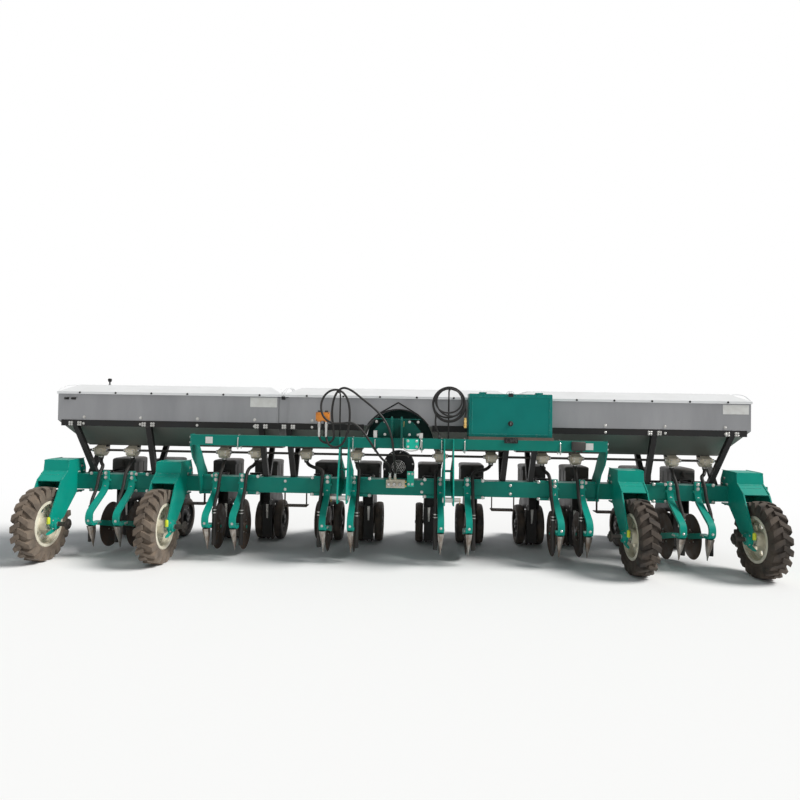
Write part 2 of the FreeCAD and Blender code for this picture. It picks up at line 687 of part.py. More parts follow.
def hopper_rails():
    """Angle rails under the upright faces, broken at the arch."""
    start = math.sqrt(ARCH_RADIUS ** 2 - (RAIL_BOTTOM - ARCH_Z) ** 2) + 8
    end = HOPPER_HALF - 40
    top = HOPPER_KNEE + RAIL_LAP
    solids = []
    for face, way in ((HOPPER_FRONT, 1), (HOPPER_REAR, -1)):
        out = face - way * RAIL_SHEET
        outline = [(face, top), (out, top), (out, RAIL_BOTTOM),
                   (out + way * RAIL_DEPTH, RAIL_BOTTOM),
                   (out + way * RAIL_DEPTH, RAIL_BOTTOM + RAIL_SHEET),
                   (face, RAIL_BOTTOM + RAIL_SHEET)]
        solids.append(side_plate(outline, start, end))
        solids.append(side_plate(outline, -end, -start))
    return solids


def hopper_legs():
    """Leaning legs from the top of the toolbar to the rails, front and rear."""
    solids = []
    half = LEG_WIDTH / 2
    for place, lean, shift in zip(LEG_PLACES, LEG_LEANS, REAR_LEG_SHIFTS):
        for side in (-1, 1):
            front = (BAR_Y - 45, HOPPER_FRONT - RAIL_SHEET, place, place + lean)
            rear = (BAR_REAR - LEG_DEPTH, HOPPER_REAR + RAIL_SHEET - RAIL_DEPTH,
                    place + shift, place + shift + REAR_LEG_LEAN)
            for foot_y, head_y, foot, head in (front, rear):
                foot, head = side * foot, side * head
                lower = (foot - half, foot + half, foot_y, foot_y + LEG_DEPTH, BAR_TOP)
                upper = (head - half, head + half, head_y, head_y + RAIL_DEPTH, RAIL_BOTTOM)
                solids.append(tapered(lower, upper))
    return solids


def lid(x0, x1):
    """Low hipped lid of flat sheets, with knuckles along its rear edge."""
    reach = LID_GAP + LID_SHEET
    front = HOPPER_FRONT - reach
    rear = HOPPER_REAR + reach
    brim = HOPPER_TOP + 8
    hem = HOPPER_TOP - LID_SKIRT
    seat = HOPPER_TOP + LID_SEAT
    top = HOPPER_TOP + LID_RISE
    sheet = LID_SHEET
    flat = (x0 + LID_SLOPE, x1 - LID_SLOPE, front + LID_SLOPE, rear - LID_SLOPE)
    roof = tapered((x0, x1, front, rear, brim), (*flat, top))
    under = tapered((x0 + sheet, x1 - sheet, front + sheet, rear - sheet, brim),
                    (*flat, top - sheet))
    solids = panels(roof, under)
    solids.append(box(x0, x1, front, front + sheet, hem, brim))
    back = HOPPER_REAR - 20
    for low, high in ((x0, x0 + sheet), (x1 - sheet, x1)):
        solids.append(box(low, high, front + sheet, back, hem, brim))
        solids.append(box(low, high, back, rear - sheet, seat, brim))
    pieces = [box(x0, x1, rear - sheet, rear, seat, brim)]
    for x in hinge_places(x0, x1):
        pieces.append(box(x - HINGE_HALF, x + HINGE_HALF, rear - sheet, HINGE_Y,
                          seat, seat + sheet))
        pieces.append(rod_x(x - HINGE_HALF, x + HINGE_HALF, HINGE_Y, HINGE_Z, HINGE_BARREL))
    solids.append(joined(*pieces).cut(rod_x(x0, x1, HINGE_Y, HINGE_Z, HINGE_PIN + RUNNING_GAP)))
    return solids


def hinge_places(x0, x1):
    """Middles of the three hinges along a lid."""
    return (x0 + HINGE_INSET, (x0 + x1) / 2, x1 - HINGE_INSET)


def lid_spans():
    """Ends of the three lids along X."""
    split = (JOINT_IN + JOINT_OUT) / 2
    end = HOPPER_HALF + LID_GAP + LID_SHEET
    half = LID_SPACE / 2
    return {"left": (-end, -split - half), "centre": (-split + half, split - half),
            "right": (split + half, end)}


def lid_hinges():
    """Hinge brackets on the rear wall, each with two ears and a pin."""
    solids = []
    near = HINGE_HALF + HINGE_SIDE_GAP
    far = near + HINGE_EAR
    top = HOPPER_TOP
    ear = [(HOPPER_REAR, top - 45), (HOPPER_REAR, top - 6), (HINGE_Y - 12, top - 6),
           (HINGE_Y - 10, HINGE_Z + 10), (HINGE_Y + 10, HINGE_Z + 10),
           (HINGE_Y + 10, HINGE_Z - 14), (HOPPER_REAR + 12, top - 45)]
    for x0, x1 in lid_spans().values():
        for x in hinge_places(x0, x1):
            base = box(x - far, x + far, HOPPER_REAR, HOPPER_REAR + 5, top - 45, top - 10)
            left = side_plate(ear, x - far, x - near)
            right = side_plate(ear, x + near, x + far)
            pin = rod_x(x - far, x + far, HINGE_Y, HINGE_Z, HINGE_PIN)
            solids.append(joined(base, left, right, pin))
    return solids


def toolbox_tray():
    """Folded tray that stands on the upper bar."""
    x0 = BOX_LEFT - TRAY_MARGIN
    x1 = BOX_RIGHT + TRAY_MARGIN
    sheet = box(x0, x1, UPPER_FRONT, BOX_FRONT + BOX_DEPTH, TRAY_TOP - TRAY_SHEET, TRAY_TOP)
    front = box(x0, x1, UPPER_FRONT, UPPER_FRONT + TRAY_SHEET, UPPER_TOP, TRAY_TOP)
    rear = box(x0, x1, UPPER_REAR - TRAY_SHEET, UPPER_REAR, UPPER_TOP, TRAY_TOP)
    return [joined(sheet, front, rear)]


def door_hinges():
    """Middles of the two toolbox door hinges."""
    return (BOX_LEFT + 120, BOX_RIGHT - 120)


def toolbox():
    """Sheet box, open at the front, with hinge ears on its top edge."""
    rear = BOX_FRONT + BOX_DEPTH
    outer = box(BOX_LEFT, BOX_RIGHT, BOX_FRONT, rear, TRAY_TOP, BOX_TOP)
    inner = box(BOX_LEFT + BOX_SHEET, BOX_RIGHT - BOX_SHEET, BOX_FRONT - 1, rear - BOX_SHEET,
                TRAY_TOP + BOX_SHEET, BOX_TOP - BOX_SHEET)
    axis_y = BOX_FRONT - DOOR_GAP - DOOR_THICK / 2
    axis_z = BOX_TOP + 6
    ear = [(BOX_FRONT + 25, BOX_TOP), (BOX_FRONT, BOX_TOP - 1), (axis_y - 8, BOX_TOP - 1),
           (axis_y - 8, axis_z + 8), (BOX_FRONT, axis_z + 8)]
    near = DOOR_HINGE_HALF + HINGE_SIDE_GAP
    pieces = []
    for x in door_hinges():
        pieces.append(side_plate(ear, x - near - 6, x - near))
        pieces.append(side_plate(ear, x + near, x + near + 6))
        pieces.append(rod_x(x - near - 6, x + near + 6, axis_y, axis_z, DOOR_PIN))
    return [joined(outer.cut(inner), *pieces)]


def toolbox_door():
    """Front of the toolbox, hung from its top edge."""
    axis_y = BOX_FRONT - DOOR_GAP - DOOR_THICK / 2
    axis_z = BOX_TOP + 6
    back = BOX_FRONT - DOOR_GAP
    pieces = [box(BOX_LEFT, BOX_RIGHT, back - DOOR_THICK, back, TRAY_TOP + 2, BOX_TOP - 6)]
    for x in door_hinges():
        low, high = x - DOOR_HINGE_HALF, x + DOOR_HINGE_HALF
        pieces.append(box(low, high, axis_y - 3, axis_y + 3, BOX_TOP - 8, axis_z))
        pieces.append(rod_x(low, high, axis_y, axis_z, DOOR_BARREL))
    door = joined(*pieces)
    return [door.cut(rod_x(BOX_LEFT, BOX_RIGHT, axis_y, axis_z, DOOR_PIN + RUNNING_GAP))]


def fertiliser_meters():
    """Cast metering housings under the hopper, bored for the drive shaft."""
    solids = []
    half = METER_WIDTH / 2
    front = BAR_Y + METER_FRONT
    rear = front + METER_DEPTH
    outline = [(rear, HOPPER_BOTTOM), (front + 62, HOPPER_BOTTOM), (front, HOPPER_BOTTOM - 30),
               (front, METER_BOTTOM + 20), (front + 35, METER_BOTTOM),
               (front + 85, METER_BOTTOM), (rear, METER_BOTTOM + 40)]
    for x in METERS:
        housing = side_plate(outline, x - half, x + half)
        bore = rod_x(x - half, x + half, SHAFT_Y, SHAFT_Z, SHAFT_RADIUS + RUNNING_GAP)
        solids.append(housing.cut(bore))
    return solids


def meter_shaft():
    """Drive shaft through all the metering housings."""
    end = METERS[-1] + METER_WIDTH / 2 + SHAFT_END
    return [rod_x(-end, end, SHAFT_Y, SHAFT_Z, SHAFT_RADIUS)]


def boot_side(place):
    """Side of the shank that is nearer to its metering housing."""
    meter = METERS[OPENERS.index(place)]
    return math.copysign(1, meter - place if abs(meter - place) > 1 else -place)


def boot_x(place):
    """Middle of the fertiliser boot beside its shank."""
    return place + boot_side(place) * (SHANK_WIDTH / 2 + BOOT_RADIUS - BOOT_LAP)


def fertiliser_hoses():
    """Hoses from the housings over the toolbar and down to the boots."""
    solids = []
    for start, place in zip(METERS, OPENERS):
        end = boot_x(place)
        points = [V(start, BAR_Y + 120, METER_BOTTOM),
                  V(start, BAR_Y + 120, METER_BOTTOM - 30),
                  V(0.70 * start + 0.30 * end, BAR_Y + 50, METER_BOTTOM - 66),
                  V(end, BAR_Y - 55, BAR_TOP + 80),
                  V(end, BAR_FRONT - 58, BAR_TOP + 10),
                  V(end, BAR_FRONT - 92, BAR_BOTTOM + 25),
                  V(end, BAR_Y - BOOT_LEAD - 6, BOOT_TOP + 60),
                  V(end, BAR_Y - BOOT_LEAD - 6, BOOT_TOP)]
        solids.append(round_tube(points, HOSE_RADIUS))
    return solids


def opener_shanks():
    """C-shaped flat bars on the toolbar front, with disc arm and boot."""
    solids = []
    centre = BAR_FRONT - SHANK_THICK / 2
    path = [(centre, BAR_TOP + SHANK_RISE), (centre, BAR_BOTTOM + 15), (BAR_Y - 390, 440),
            (BAR_Y - 385, 330), (BAR_Y - 205, 330)]
    for place in OPENERS:
        side = boot_side(place)
        bar = flat_bar(path, place, SHANK_WIDTH, SHANK_THICK)
        edge = place - side * (DISC_HUB_HALF + ARM_GAP + ARM_PLATE)
        low, high = sorted((edge, edge + side * ARM_PLATE))
        arm = side_plate([(BAR_Y - 300, 340), (BAR_Y - 300, 318), (DISC_Y, DISC_Z - 28),
                          (DISC_Y + 30, DISC_Z), (DISC_Y, DISC_Z + 30),
                          (BAR_Y - 190, 342)], low, high)
        boot = rod(V(boot_x(place), BAR_Y - BOOT_LEAD - 6, BOOT_BOTTOM),
                   V(boot_x(place), BAR_Y - BOOT_LEAD - 6, BOOT_TOP), BOOT_RADIUS)
        lug = box(*sorted((place, boot_x(place))), BAR_Y - BOOT_LEAD - 16,
                  BAR_Y - BOOT_LEAD + 4, 320, 340)
        pin = rod_x(*sorted((place + side * (DISC_HUB_HALF + ARM_GAP), edge)), DISC_Y, DISC_Z, DISC_PIN)
        solids.append(joined(bar, arm, boot, lug, pin))
    return solids


def opener_tips():
    """Pointed wear pieces under the front of each shank."""
    half = TIP_WIDTH / 2
    low = 330 - SHANK_THICK / 2
    outline = [(BAR_Y - 370, low), (BAR_Y - 310, low), (BAR_Y - 296, 200), (BAR_Y - 300, 110),
               (BAR_Y - 340, 210)]
    return [side_plate(outline, place - half, place + half) for place in OPENERS]


def coulter_discs(first, last):
    """Cutting discs with their hubs, turning on the shank pins."""
    solids = []
    for place in OPENERS[first:last]:
        disc = rod_x(place - DISC_THICK / 2, place + DISC_THICK / 2, DISC_Y, DISC_Z, DISC_RADIUS)
        hub = rod_x(place - DISC_HUB_HALF, place + DISC_HUB_HALF, DISC_Y, DISC_Z, DISC_HUB_RADIUS)
        bore = rod_x(place - 60, place + 60, DISC_Y, DISC_Z, DISC_PIN + RUNNING_GAP)
        solids.append(joined(disc, hub).cut(bore))
    return solids


def row_unit_frames():
    """Frame of each seed row: mounting plate, links, cheeks and tail."""
    solids = []
    head = BAR_REAR + UNIT_PLATE + LINK_LENGTH
    for x in ROWS:
        pieces = [box(x - UNIT_PLATE_HALF, x + UNIT_PLATE_HALF, BAR_REAR, BAR_REAR + UNIT_PLATE,
                      BAR_BOTTOM - 25, BAR_TOP + 25)]
        pieces.append(box(x - 62, x + 62, head, head + 22, BAR_BOTTOM - 45, BAR_TOP + 5))
        for side in (-1, 1):
            low, high = sorted((x + side * LINK_X, x + side * (LINK_X + LINK_THICK)))
            for z in (BAR_TOP - LINK_DEPTH, BAR_BOTTOM - 25):
                pieces.append(box(low, high, BAR_REAR + UNIT_PLATE, head, z, z + LINK_DEPTH))
            low, high = sorted((x + side * FRAME_HALF, x + side * (FRAME_HALF + FRAME_PLATE)))
            cheek = [(head + 22, 600), (head + 22, 420), (GAUGE_Y - 60, 400),
                     (GAUGE_Y - 25, GAUGE_RADIUS - 25), (GAUGE_Y + 25, GAUGE_RADIUS - 25),
                     (GAUGE_Y + 60, 410), (PRESS_Y - 110, 330), (PRESS_Y - 20, PRESS_RADIUS - 20),
                     (PRESS_Y + 20, PRESS_RADIUS - 5), (PRESS_Y + 10, PRESS_RADIUS + 35),
                     (PRESS_Y - 100, 450), (GAUGE_Y + 20, 600)]
            pieces.append(side_plate(cheek, low, high))
        pieces.append(box(x - FRAME_HALF, x + FRAME_HALF, head + 22, GAUGE_Y + 20, 590, 600))
        pieces.append(rod_x(x - 150, x - FRAME_HALF, GAUGE_Y, GAUGE_RADIUS, GAUGE_PIN))
        pieces.append(rod_x(x + FRAME_HALF, x + 150, GAUGE_Y, GAUGE_RADIUS, GAUGE_PIN))
        pieces.append(rod_x(x - 55, x + 55, PRESS_Y, PRESS_RADIUS, PRESS_PIN))
        solids.append(joined(*pieces))
    return solids


def seed_boxes():
    """Seed box on each row frame."""
    solids = []
    front = BAR_Y + SEED_BOX_BACK - SEED_BOX_DEPTH / 2
    rear = front + SEED_BOX_DEPTH
    for x in ROWS:
        upper = box(x - SEED_BOX_HALF, x + SEED_BOX_HALF, front, rear, 690, SEED_BOX_TOP)
        lower = tapered((x - 50, x + 50, front + 80, rear - 80, 600),
                        (x - SEED_BOX_HALF, x + SEED_BOX_HALF, front, rear, 690))
        solids.append(joined(upper, lower))
    return solids


def seed_openers():
    """Pair of furrow discs of each row, with the hub between the cheeks."""
    solids = []
    for x in ROWS:
        hub = rod_x(x - FRAME_HALF, x + FRAME_HALF, SEED_DISC_Y, SEED_DISC_RADIUS, SEED_HUB_RADIUS)
        discs = []
        for side in (-1, 1):
            inner = x + side * (SEED_DISC_HALF - SEED_DISC_THICK)
            low, high = sorted((inner, x + side * SEED_DISC_HALF))
            discs.append(rod_x(low, high, SEED_DISC_Y, SEED_DISC_RADIUS, SEED_DISC_RADIUS))
        solids.append(joined(hub, *discs))
    return solids


def gauge_wheels(first, last):
    """Depth wheels on both sides of each row."""
    solids = []
    half = GAUGE_WIDTH / 2
    bore = GAUGE_PIN + RUNNING_GAP
    profile = [(-half, bore), (-half, GAUGE_RADIUS - 14), (10 - half, GAUGE_RADIUS),
               (half - 10, GAUGE_RADIUS), (half, GAUGE_RADIUS - 14), (half, bore)]
    for x in ROWS[first:last]:
        for side in (-1, 1):
            solids.append(turned(profile, x + side * GAUGE_OFFSET, GAUGE_Y, GAUGE_RADIUS))
    return solids


def press_wheels(first, last):
    """Closing wheel behind each row."""
    half = PRESS_WIDTH / 2
    bore = PRESS_PIN + RUNNING_GAP
    profile = [(-half, bore), (-half, PRESS_RADIUS - 16), (12 - half, PRESS_RADIUS),
               (half - 12, PRESS_RADIUS), (half, PRESS_RADIUS - 16), (half, bore)]
    return [turned(profile, x, PRESS_Y, PRESS_RADIUS) for x in ROWS[first:last]]


def fan():
    """Fan drum with inlet and outlet on a bracket behind the toolbar."""
    front = BAR_Y + FAN_BACK
    drum = rod(V(0, front, FAN_Z), V(0, front + FAN_WIDTH, FAN_Z), FAN_RADIUS)
    inlet = rod(V(0, front - 35, FAN_Z), V(0, front, FAN_Z), 70)
    outlet = box(-FAN_RADIUS, -FAN_RADIUS + 120, front + 10, front + FAN_WIDTH - 10, 620, FAN_Z)
    bracket = box(-60, 60, BAR_REAR, front + 40, BAR_Z - 5, BAR_Z + 45)
    return [joined(drum, inlet, outlet, bracket)]


def steps():
    """Steps hung behind the toolbar between the beds."""
    solids = []
    half = STEP_WIDTH / 2
    front = BAR_Y + STEP_BACK
    for x in [n * BED_PITCH for n in (-2, -1, 1, 2)]:
        solids.append(box(x - half, x + half, front, front + STEP_DEPTH,
                          STEP_Z - STEP_SHEET, STEP_Z))
        for side in (-1, 1):
            edge = x + side * half
            low, high = sorted((edge, edge - side * STEP_SHEET))
            solids.append(box(low, high, BAR_REAR, front + STEP_ARM, BAR_TOP - 115, BAR_TOP - 75))
            solids.append(box(low, high, front, front + STEP_ARM, STEP_Z, BAR_TOP - 115))
    return solids


def hydraulic_block():
    """Valve block on the toolbar front, with two upright ports."""
    block = box(-105, 75, BAR_FRONT - 80, BAR_FRONT, BAR_Z + 5, BAR_TOP + 5)
    ports = [rod(V(x, BAR_FRONT - 45, BAR_TOP + 5), V(x, BAR_FRONT - 45, BAR_TOP + 30), 14)
             for x in (-70, -20)]
    return [joined(block, *ports)]


def small_brackets():
    """Bright plates on the toolbar and on the upper bar."""
    low = box(95, 165, BAR_FRONT - 8, BAR_FRONT, BAR_Z + 10, BAR_TOP + 85)
    high = box(85, 205, UPPER_FRONT - 8, UPPER_FRONT, UPPER_BOTTOM - 5, UPPER_TOP - 5)
    return [low, high]


def hose_hooks():
    """Hooked posts on the upper bar, the coupler holder and the cable gland."""
    solids = []
    for x, z in ((LEFT_HOOK_X, LEFT_HOOK_Z), (RIGHT_HOOK_X, RIGHT_HOOK_Z)):
        end = UPPER_Y - HOOK_REACH
        route = [V(x, UPPER_Y, UPPER_TOP), V(x, UPPER_Y, z), V(x, end, z), V(x, end, z + HOOK_TIP)]
        solids.append(round_tube(route, HOOK_RADIUS, share=HOOK_BEND))
    middle = HOLDER_Z + HOLDER_HEIGHT / 2
    rear = UPPER_Y - CABLE_REACH + HOLDER_DEPTH / 2
    holder = box(HOLDER_X - HOLDER_WIDTH / 2, HOLDER_X + HOLDER_WIDTH / 2, rear - HOLDER_DEPTH,
                 rear, HOLDER_Z, HOLDER_Z + HOLDER_HEIGHT)
    route = [V(HOLDER_X, UPPER_Y, UPPER_TOP), V(HOLDER_X, UPPER_Y, middle),
             V(HOLDER_X, rear, middle)]
    solids.append(joined(holder, round_tube(route, HOOK_RADIUS, share=HOOK_BEND)))
    x, y, z = CABLE_DOWN[-1]
    solids.append(rod(V(x, y, UPPER_TOP), V(x, y, z), GLAND_RADIUS))
    return solids


def quick_couplers():
    """Couplers plugged into the underside of the holder."""
    solids = []
    for x, y, z in (FIRST_HOSE[0], SECOND_HOSE[0]):
        body = rod(V(x, y, z), V(x, y, z + COUPLER_LENGTH), COUPLER_RADIUS)
        collar = rod(V(x, y, z + 45), V(x, y, z + 75), COUPLER_RADIUS + 3)
        solids.append(joined(body, collar))
    return solids


def cable_coil():
    """Outer shape of the cable's hank on its hook."""
    return [Part.makeTorus(COIL_RADIUS, COIL_THICK, V(RIGHT_HOOK_X, COIL_Y, COIL_Z), V(0, 1, 0))]


def cable_run():
    """Cable from the hank to its gland, and from the hank to its plug."""
    return [round_tube([V(*point) for point in CABLE_DOWN], CABLE_RADIUS, "cable down"),
            round_tube([V(*point) for point in CABLE_TAIL], CABLE_RADIUS, "cable tail")]


def cable_plug():
    """Plug that hangs from the cable's end."""
    end = V(*CABLE_TAIL[-1])
    body = rod(end - V(0, 0, PLUG_LENGTH), end, PLUG_RADIUS)
    return [joined(body, rod(end - V(0, 0, 40), end - V(0, 0, 25), PLUG_RADIUS + 3))]


def wing(maker, name):
    """Pieces of one of the three wings."""
    first, last = WINGS[name]
    return maker(first, last)


def build():
    """All nodes of the machine, by name."""
    nodes = {"toolbar": toolbar(), "upper_bar": upper_bar(), "bar_end_plates": bar_end_plates(),
             "hitch_plates": hitch_plates(), "hitch_pins": hitch_pins(), "top_mast": top_mast()}
    for number, x in enumerate(WHEEL_PLACES, 1):
        nodes[f"wheel_fork_{number}"] = wheel_fork(x)
        nodes[f"tyre_{number}"] = tyre(x)
        nodes[f"rim_{number}"] = rim(x)
    taper = HOPPER_END_TAPER
    nodes["hopper_left"] = hopper_section(-HOPPER_HALF, -JOINT_OUT, taper0=taper)
    nodes["hopper_centre"] = arched_section(JOINT_IN)
    nodes["hopper_right"] = hopper_section(JOINT_OUT, HOPPER_HALF, taper1=taper)
    nodes["arch_back"] = arch_back()
    nodes["hopper_joint_strips"] = joint_strips()
    nodes["hopper_rails"] = hopper_rails()
    nodes["hopper_legs"] = hopper_legs()
    for name, (x0, x1) in lid_spans().items():
        nodes[f"lid_{name}"] = lid(x0, x1)
    nodes["lid_hinges"] = lid_hinges()
    nodes["toolbox_tray"] = toolbox_tray()
    nodes["toolbox"] = toolbox()
    nodes["toolbox_door"] = toolbox_door()
    nodes["fertiliser_meters"] = fertiliser_meters()
    nodes["meter_shaft"] = meter_shaft()
    nodes["fertiliser_hoses"] = fertiliser_hoses()
    nodes["opener_shanks"] = opener_shanks()
    nodes["opener_tips"] = opener_tips()
    nodes["row_unit_frames"] = row_unit_frames()
    nodes["seed_boxes"] = seed_boxes()
    nodes["seed_openers"] = seed_openers()
    for name in WINGS:
        nodes[f"coulter_discs_{name}"] = wing(coulter_discs, name)
        nodes[f"gauge_wheels_{name}"] = wing(gauge_wheels, name)
        nodes[f"press_wheels_{name}"] = wing(press_wheels, name)
    nodes["fan"] = fan()
    nodes["steps"] = steps()
    nodes["hydraulic_block"] = hydraulic_block()
    nodes["small_brackets"] = small_brackets()
    nodes["hose_hooks"] = hose_hooks()
    nodes["quick_couplers"] = quick_couplers()
    for name, route in (("first_hose", FIRST_HOSE), ("second_hose", SECOND_HOSE)):
        nodes[name] = [round_tube([V(*point) for point in route], HYDRAULIC_RADIUS, name)]
    nodes["cable_coil"] = cable_coil()
    nodes["cable_run"] = cable_run()
    nodes["cable_plug"] = cable_plug()
    return nodes


def main():
    """Write one file for each node."""
    os.makedirs("parts", exist_ok=True)
    for name, solids in build().items():
        shape = solids[0] if len(solids) == 1 else Part.makeCompound(solids)
        bad = [solid for solid in solids if not solid.isValid() or solid.ShapeType == "Compound"
               and len(solid.Solids) != 1]
        print(name, len(shape.Solids), f"{shape.Volume / 1e6:.2f}", "BAD" if bad else "")
        shape.exportStep(f"parts/{name}.step")


main()
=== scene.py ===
"""Looks of the precision seeder: finishes, cords, tread, trim and fixings over its frame."""

import math

import bmesh
import bpy
import numpy as np
from bpy.props import FloatProperty, FloatVectorProperty, IntProperty, PointerProperty
from mathutils import Matrix, Vector


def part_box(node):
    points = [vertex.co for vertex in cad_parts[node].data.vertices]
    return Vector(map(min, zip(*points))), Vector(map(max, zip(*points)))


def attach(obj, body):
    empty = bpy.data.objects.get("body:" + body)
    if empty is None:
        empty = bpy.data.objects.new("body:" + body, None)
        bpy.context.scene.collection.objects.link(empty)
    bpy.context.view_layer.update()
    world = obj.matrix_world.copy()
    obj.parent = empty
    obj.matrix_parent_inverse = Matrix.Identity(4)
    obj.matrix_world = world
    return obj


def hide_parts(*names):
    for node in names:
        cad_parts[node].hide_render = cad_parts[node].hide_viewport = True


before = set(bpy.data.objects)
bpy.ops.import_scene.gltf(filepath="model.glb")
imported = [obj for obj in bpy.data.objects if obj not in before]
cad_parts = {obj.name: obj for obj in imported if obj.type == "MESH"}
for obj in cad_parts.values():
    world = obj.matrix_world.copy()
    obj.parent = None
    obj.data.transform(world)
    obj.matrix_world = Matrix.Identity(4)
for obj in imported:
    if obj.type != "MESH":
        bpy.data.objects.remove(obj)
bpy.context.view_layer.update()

bl_info = {
    "name": "Precision seeder",
    "version": (1, 0, 0),
    "blender": (4, 5, 0),
    "location": "View3D > Sidebar > Seeder",
    "description": "Builds the seeder's finishes, cords, tread and small fittings over its frame",
    "category": "Object",
}

# Places along the machine, the same on both sides of the middle
ROWS = np.array([-2.975, -2.525, -1.875, -1.425, -0.775, -0.325,
                 0.325, 0.775, 1.425, 1.875, 2.525, 2.975])
OPENERS = np.array([-2.88, -2.62, -1.78, -1.52, -0.68, -0.42,
                    0.42, 0.68, 1.52, 1.78, 2.62, 2.88])
METERS = np.array([-3.045, -2.72, -1.77, -1.44, -0.93, -0.42,
                   0.42, 0.93, 1.44, 1.77, 2.72, 3.045])
BEDS = {"left": slice(0, 4), "centre": slice(4, 8), "right": slice(8, 12)}
STEP_PLACES = (-2.2, -1.1, 1.1, 2.2)
LEG_PLACES = np.array([-3.19, -2.46, -1.34, -1.07, 1.07, 1.34, 2.46, 3.19])


def ends(node):
    """Lowest and highest corners of a CAD node as arrays."""
    low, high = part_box(node)
    return np.array(low), np.array(high)


BAR_LOW, BAR_HIGH = ends("toolbar")
UPPER_LOW, UPPER_HIGH = ends("upper_bar")
HOPPER_LOW, HOPPER_HIGH = ends("hopper_left")
KNEE_Z = 1.305


# Sizes and colours that a user would change

class SeederPaints(bpy.types.PropertyGroup):
    """Colours of the finishes."""

    teal: FloatVectorProperty(name="Teal paint",
                              description="Paint of the frame, forks and shanks",
                              default=(0.0, 0.33, 0.25), size=3, min=0, max=1, subtype="COLOR")
    bright: FloatVectorProperty(name="Bright teal", description="Paint of the two small brackets",
                                default=(0.0, 0.55, 0.39), size=3, min=0, max=1, subtype="COLOR")
    grey: FloatVectorProperty(name="Hopper grey", description="Skin of the fertiliser hopper",
                              default=(0.325, 0.328, 0.338), size=3, min=0, max=1, subtype="COLOR")
    lid: FloatVectorProperty(name="Lid white", description="Moulded hopper lids",
                             default=(0.80, 0.81, 0.82), size=3, min=0, max=1, subtype="COLOR")
    cream: FloatVectorProperty(name="Rim cream", description="Paint of the ground wheel rims",
                               default=(0.88, 0.84, 0.70), size=3, min=0, max=1, subtype="COLOR")
    black: FloatVectorProperty(name="Black paint", description="Rails, legs and row frames",
                               default=(0.012, 0.013, 0.014), size=3, min=0, max=1,
                               subtype="COLOR")
    orange: FloatVectorProperty(name="Holder orange", description="Moulded coupler holder",
                                default=(0.78, 0.27, 0.02), size=3, min=0, max=1,
                                subtype="COLOR")
    soil: FloatVectorProperty(name="Soil", description="Dry soil and dust on the machine",
                              default=(0.23, 0.175, 0.13), size=3, min=0, max=1,
                              subtype="COLOR")


class SeederTread(bpy.types.PropertyGroup):
    """Tread of the ground wheels."""

    lugs: IntProperty(name="Lugs per side", description="Number of lugs on each half of the tread",
                      default=20, min=8, max=40)
    lug_height: FloatProperty(name="Lug height", description="Height of a lug over the carcass",
                              default=0.023, min=0.005, max=0.04, unit="LENGTH")
    lug_width: FloatProperty(name="Lug width", description="Width of a lug at its foot",
                             default=0.060, min=0.01, max=0.09, unit="LENGTH")
    lean: FloatProperty(name="Lug lean",
                        description="Turn of a lug from the middle to its shoulder",
                        default=0.19, min=0, max=0.6, subtype="ANGLE", unit="ROTATION")


class SeederFixings(bpy.types.PropertyGroup):
    """Bolts, rivets and straps."""

    bolt: FloatProperty(name="Bolt size", description="Half the width of a bolt head over corners",
                        default=0.012, min=0.004, max=0.03, unit="LENGTH")
    bolt_pitch: FloatProperty(name="Face bolt spacing",
                              description="Distance between the bolts along the hopper face",
                              default=0.5665, min=0.1, max=2, unit="LENGTH")
    rivet_pitch: FloatProperty(name="Rivet spacing",
                               description="Distance between the rivets along the lid edge",
                               default=0.358, min=0.05, max=2, unit="LENGTH")
    strap: FloatProperty(name="U-bolt rod", description="Radius of the U-bolts on the two bars",
                         default=0.007, min=0.003, max=0.015, unit="LENGTH")


class SeederLines(bpy.types.PropertyGroup):
    """Hoses and cable."""

    hose: FloatProperty(name="Hose diameter", description="Outer diameter of the hydraulic hoses",
                        default=0.020, min=0.008, max=0.04, unit="LENGTH")
    cable: FloatProperty(name="Cable diameter", description="Outer diameter of the signal cable",
                         default=0.016, min=0.004, max=0.03, unit="LENGTH")
    turn_points: IntProperty(name="Points per turn", description="Control points on a coil turn",
                             default=14, min=12, max=32)
    ripple: FloatProperty(name="Ripple spacing",
                          description="Distance between the rings of the fertiliser hoses",
                          default=0.011, min=0.004, max=0.03, unit="LENGTH")


class SeederStudio(bpy.types.PropertyGroup):
    """Floor and light."""

    sun: FloatProperty(name="Sun", description="Strength of the soft key light", default=3.3,
                       min=0, max=10)
    sky: FloatProperty(name="Sky", description="Strength of the even light from all round",
                       default=0.32, min=0, max=5)
    floor: FloatProperty(name="Floor size", description="Half width of the floor", default=30,
                         min=10, max=100, unit="LENGTH")


def sizes(name):
    """One of the scene's groups of sizes and colours."""
    return getattr(bpy.context.scene, name)


# Surfaces: every shape is a pair of arrays, points (n, 3) and faces (m, 4)

def surface(points, round_u=False, round_v=False):
    """Quads over a grid of points, or over several grids at once.

    A quad joins each grid point to the next row and the next column; a direction that is
    round joins its last line to its first."""
    points = np.asarray(points, float)
    if points.ndim == 3:
        points = points[None]
    count, rows, columns = points.shape[:3]
    index = np.arange(rows * columns).reshape(rows, columns)
    if round_u:
        index = np.vstack([index, index[:1]])
    if round_v:
        index = np.hstack([index, index[:, :1]])
    quads = np.stack([index[:-1, :-1], index[1:, :-1], index[1:, 1:], index[:-1, 1:]], axis=-1)
    quads = quads.reshape(-1, 4)
    shift = np.arange(count)[:, None, None] * rows * columns
    return points.reshape(-1, 3), (quads[None] + shift).reshape(-1, 4)


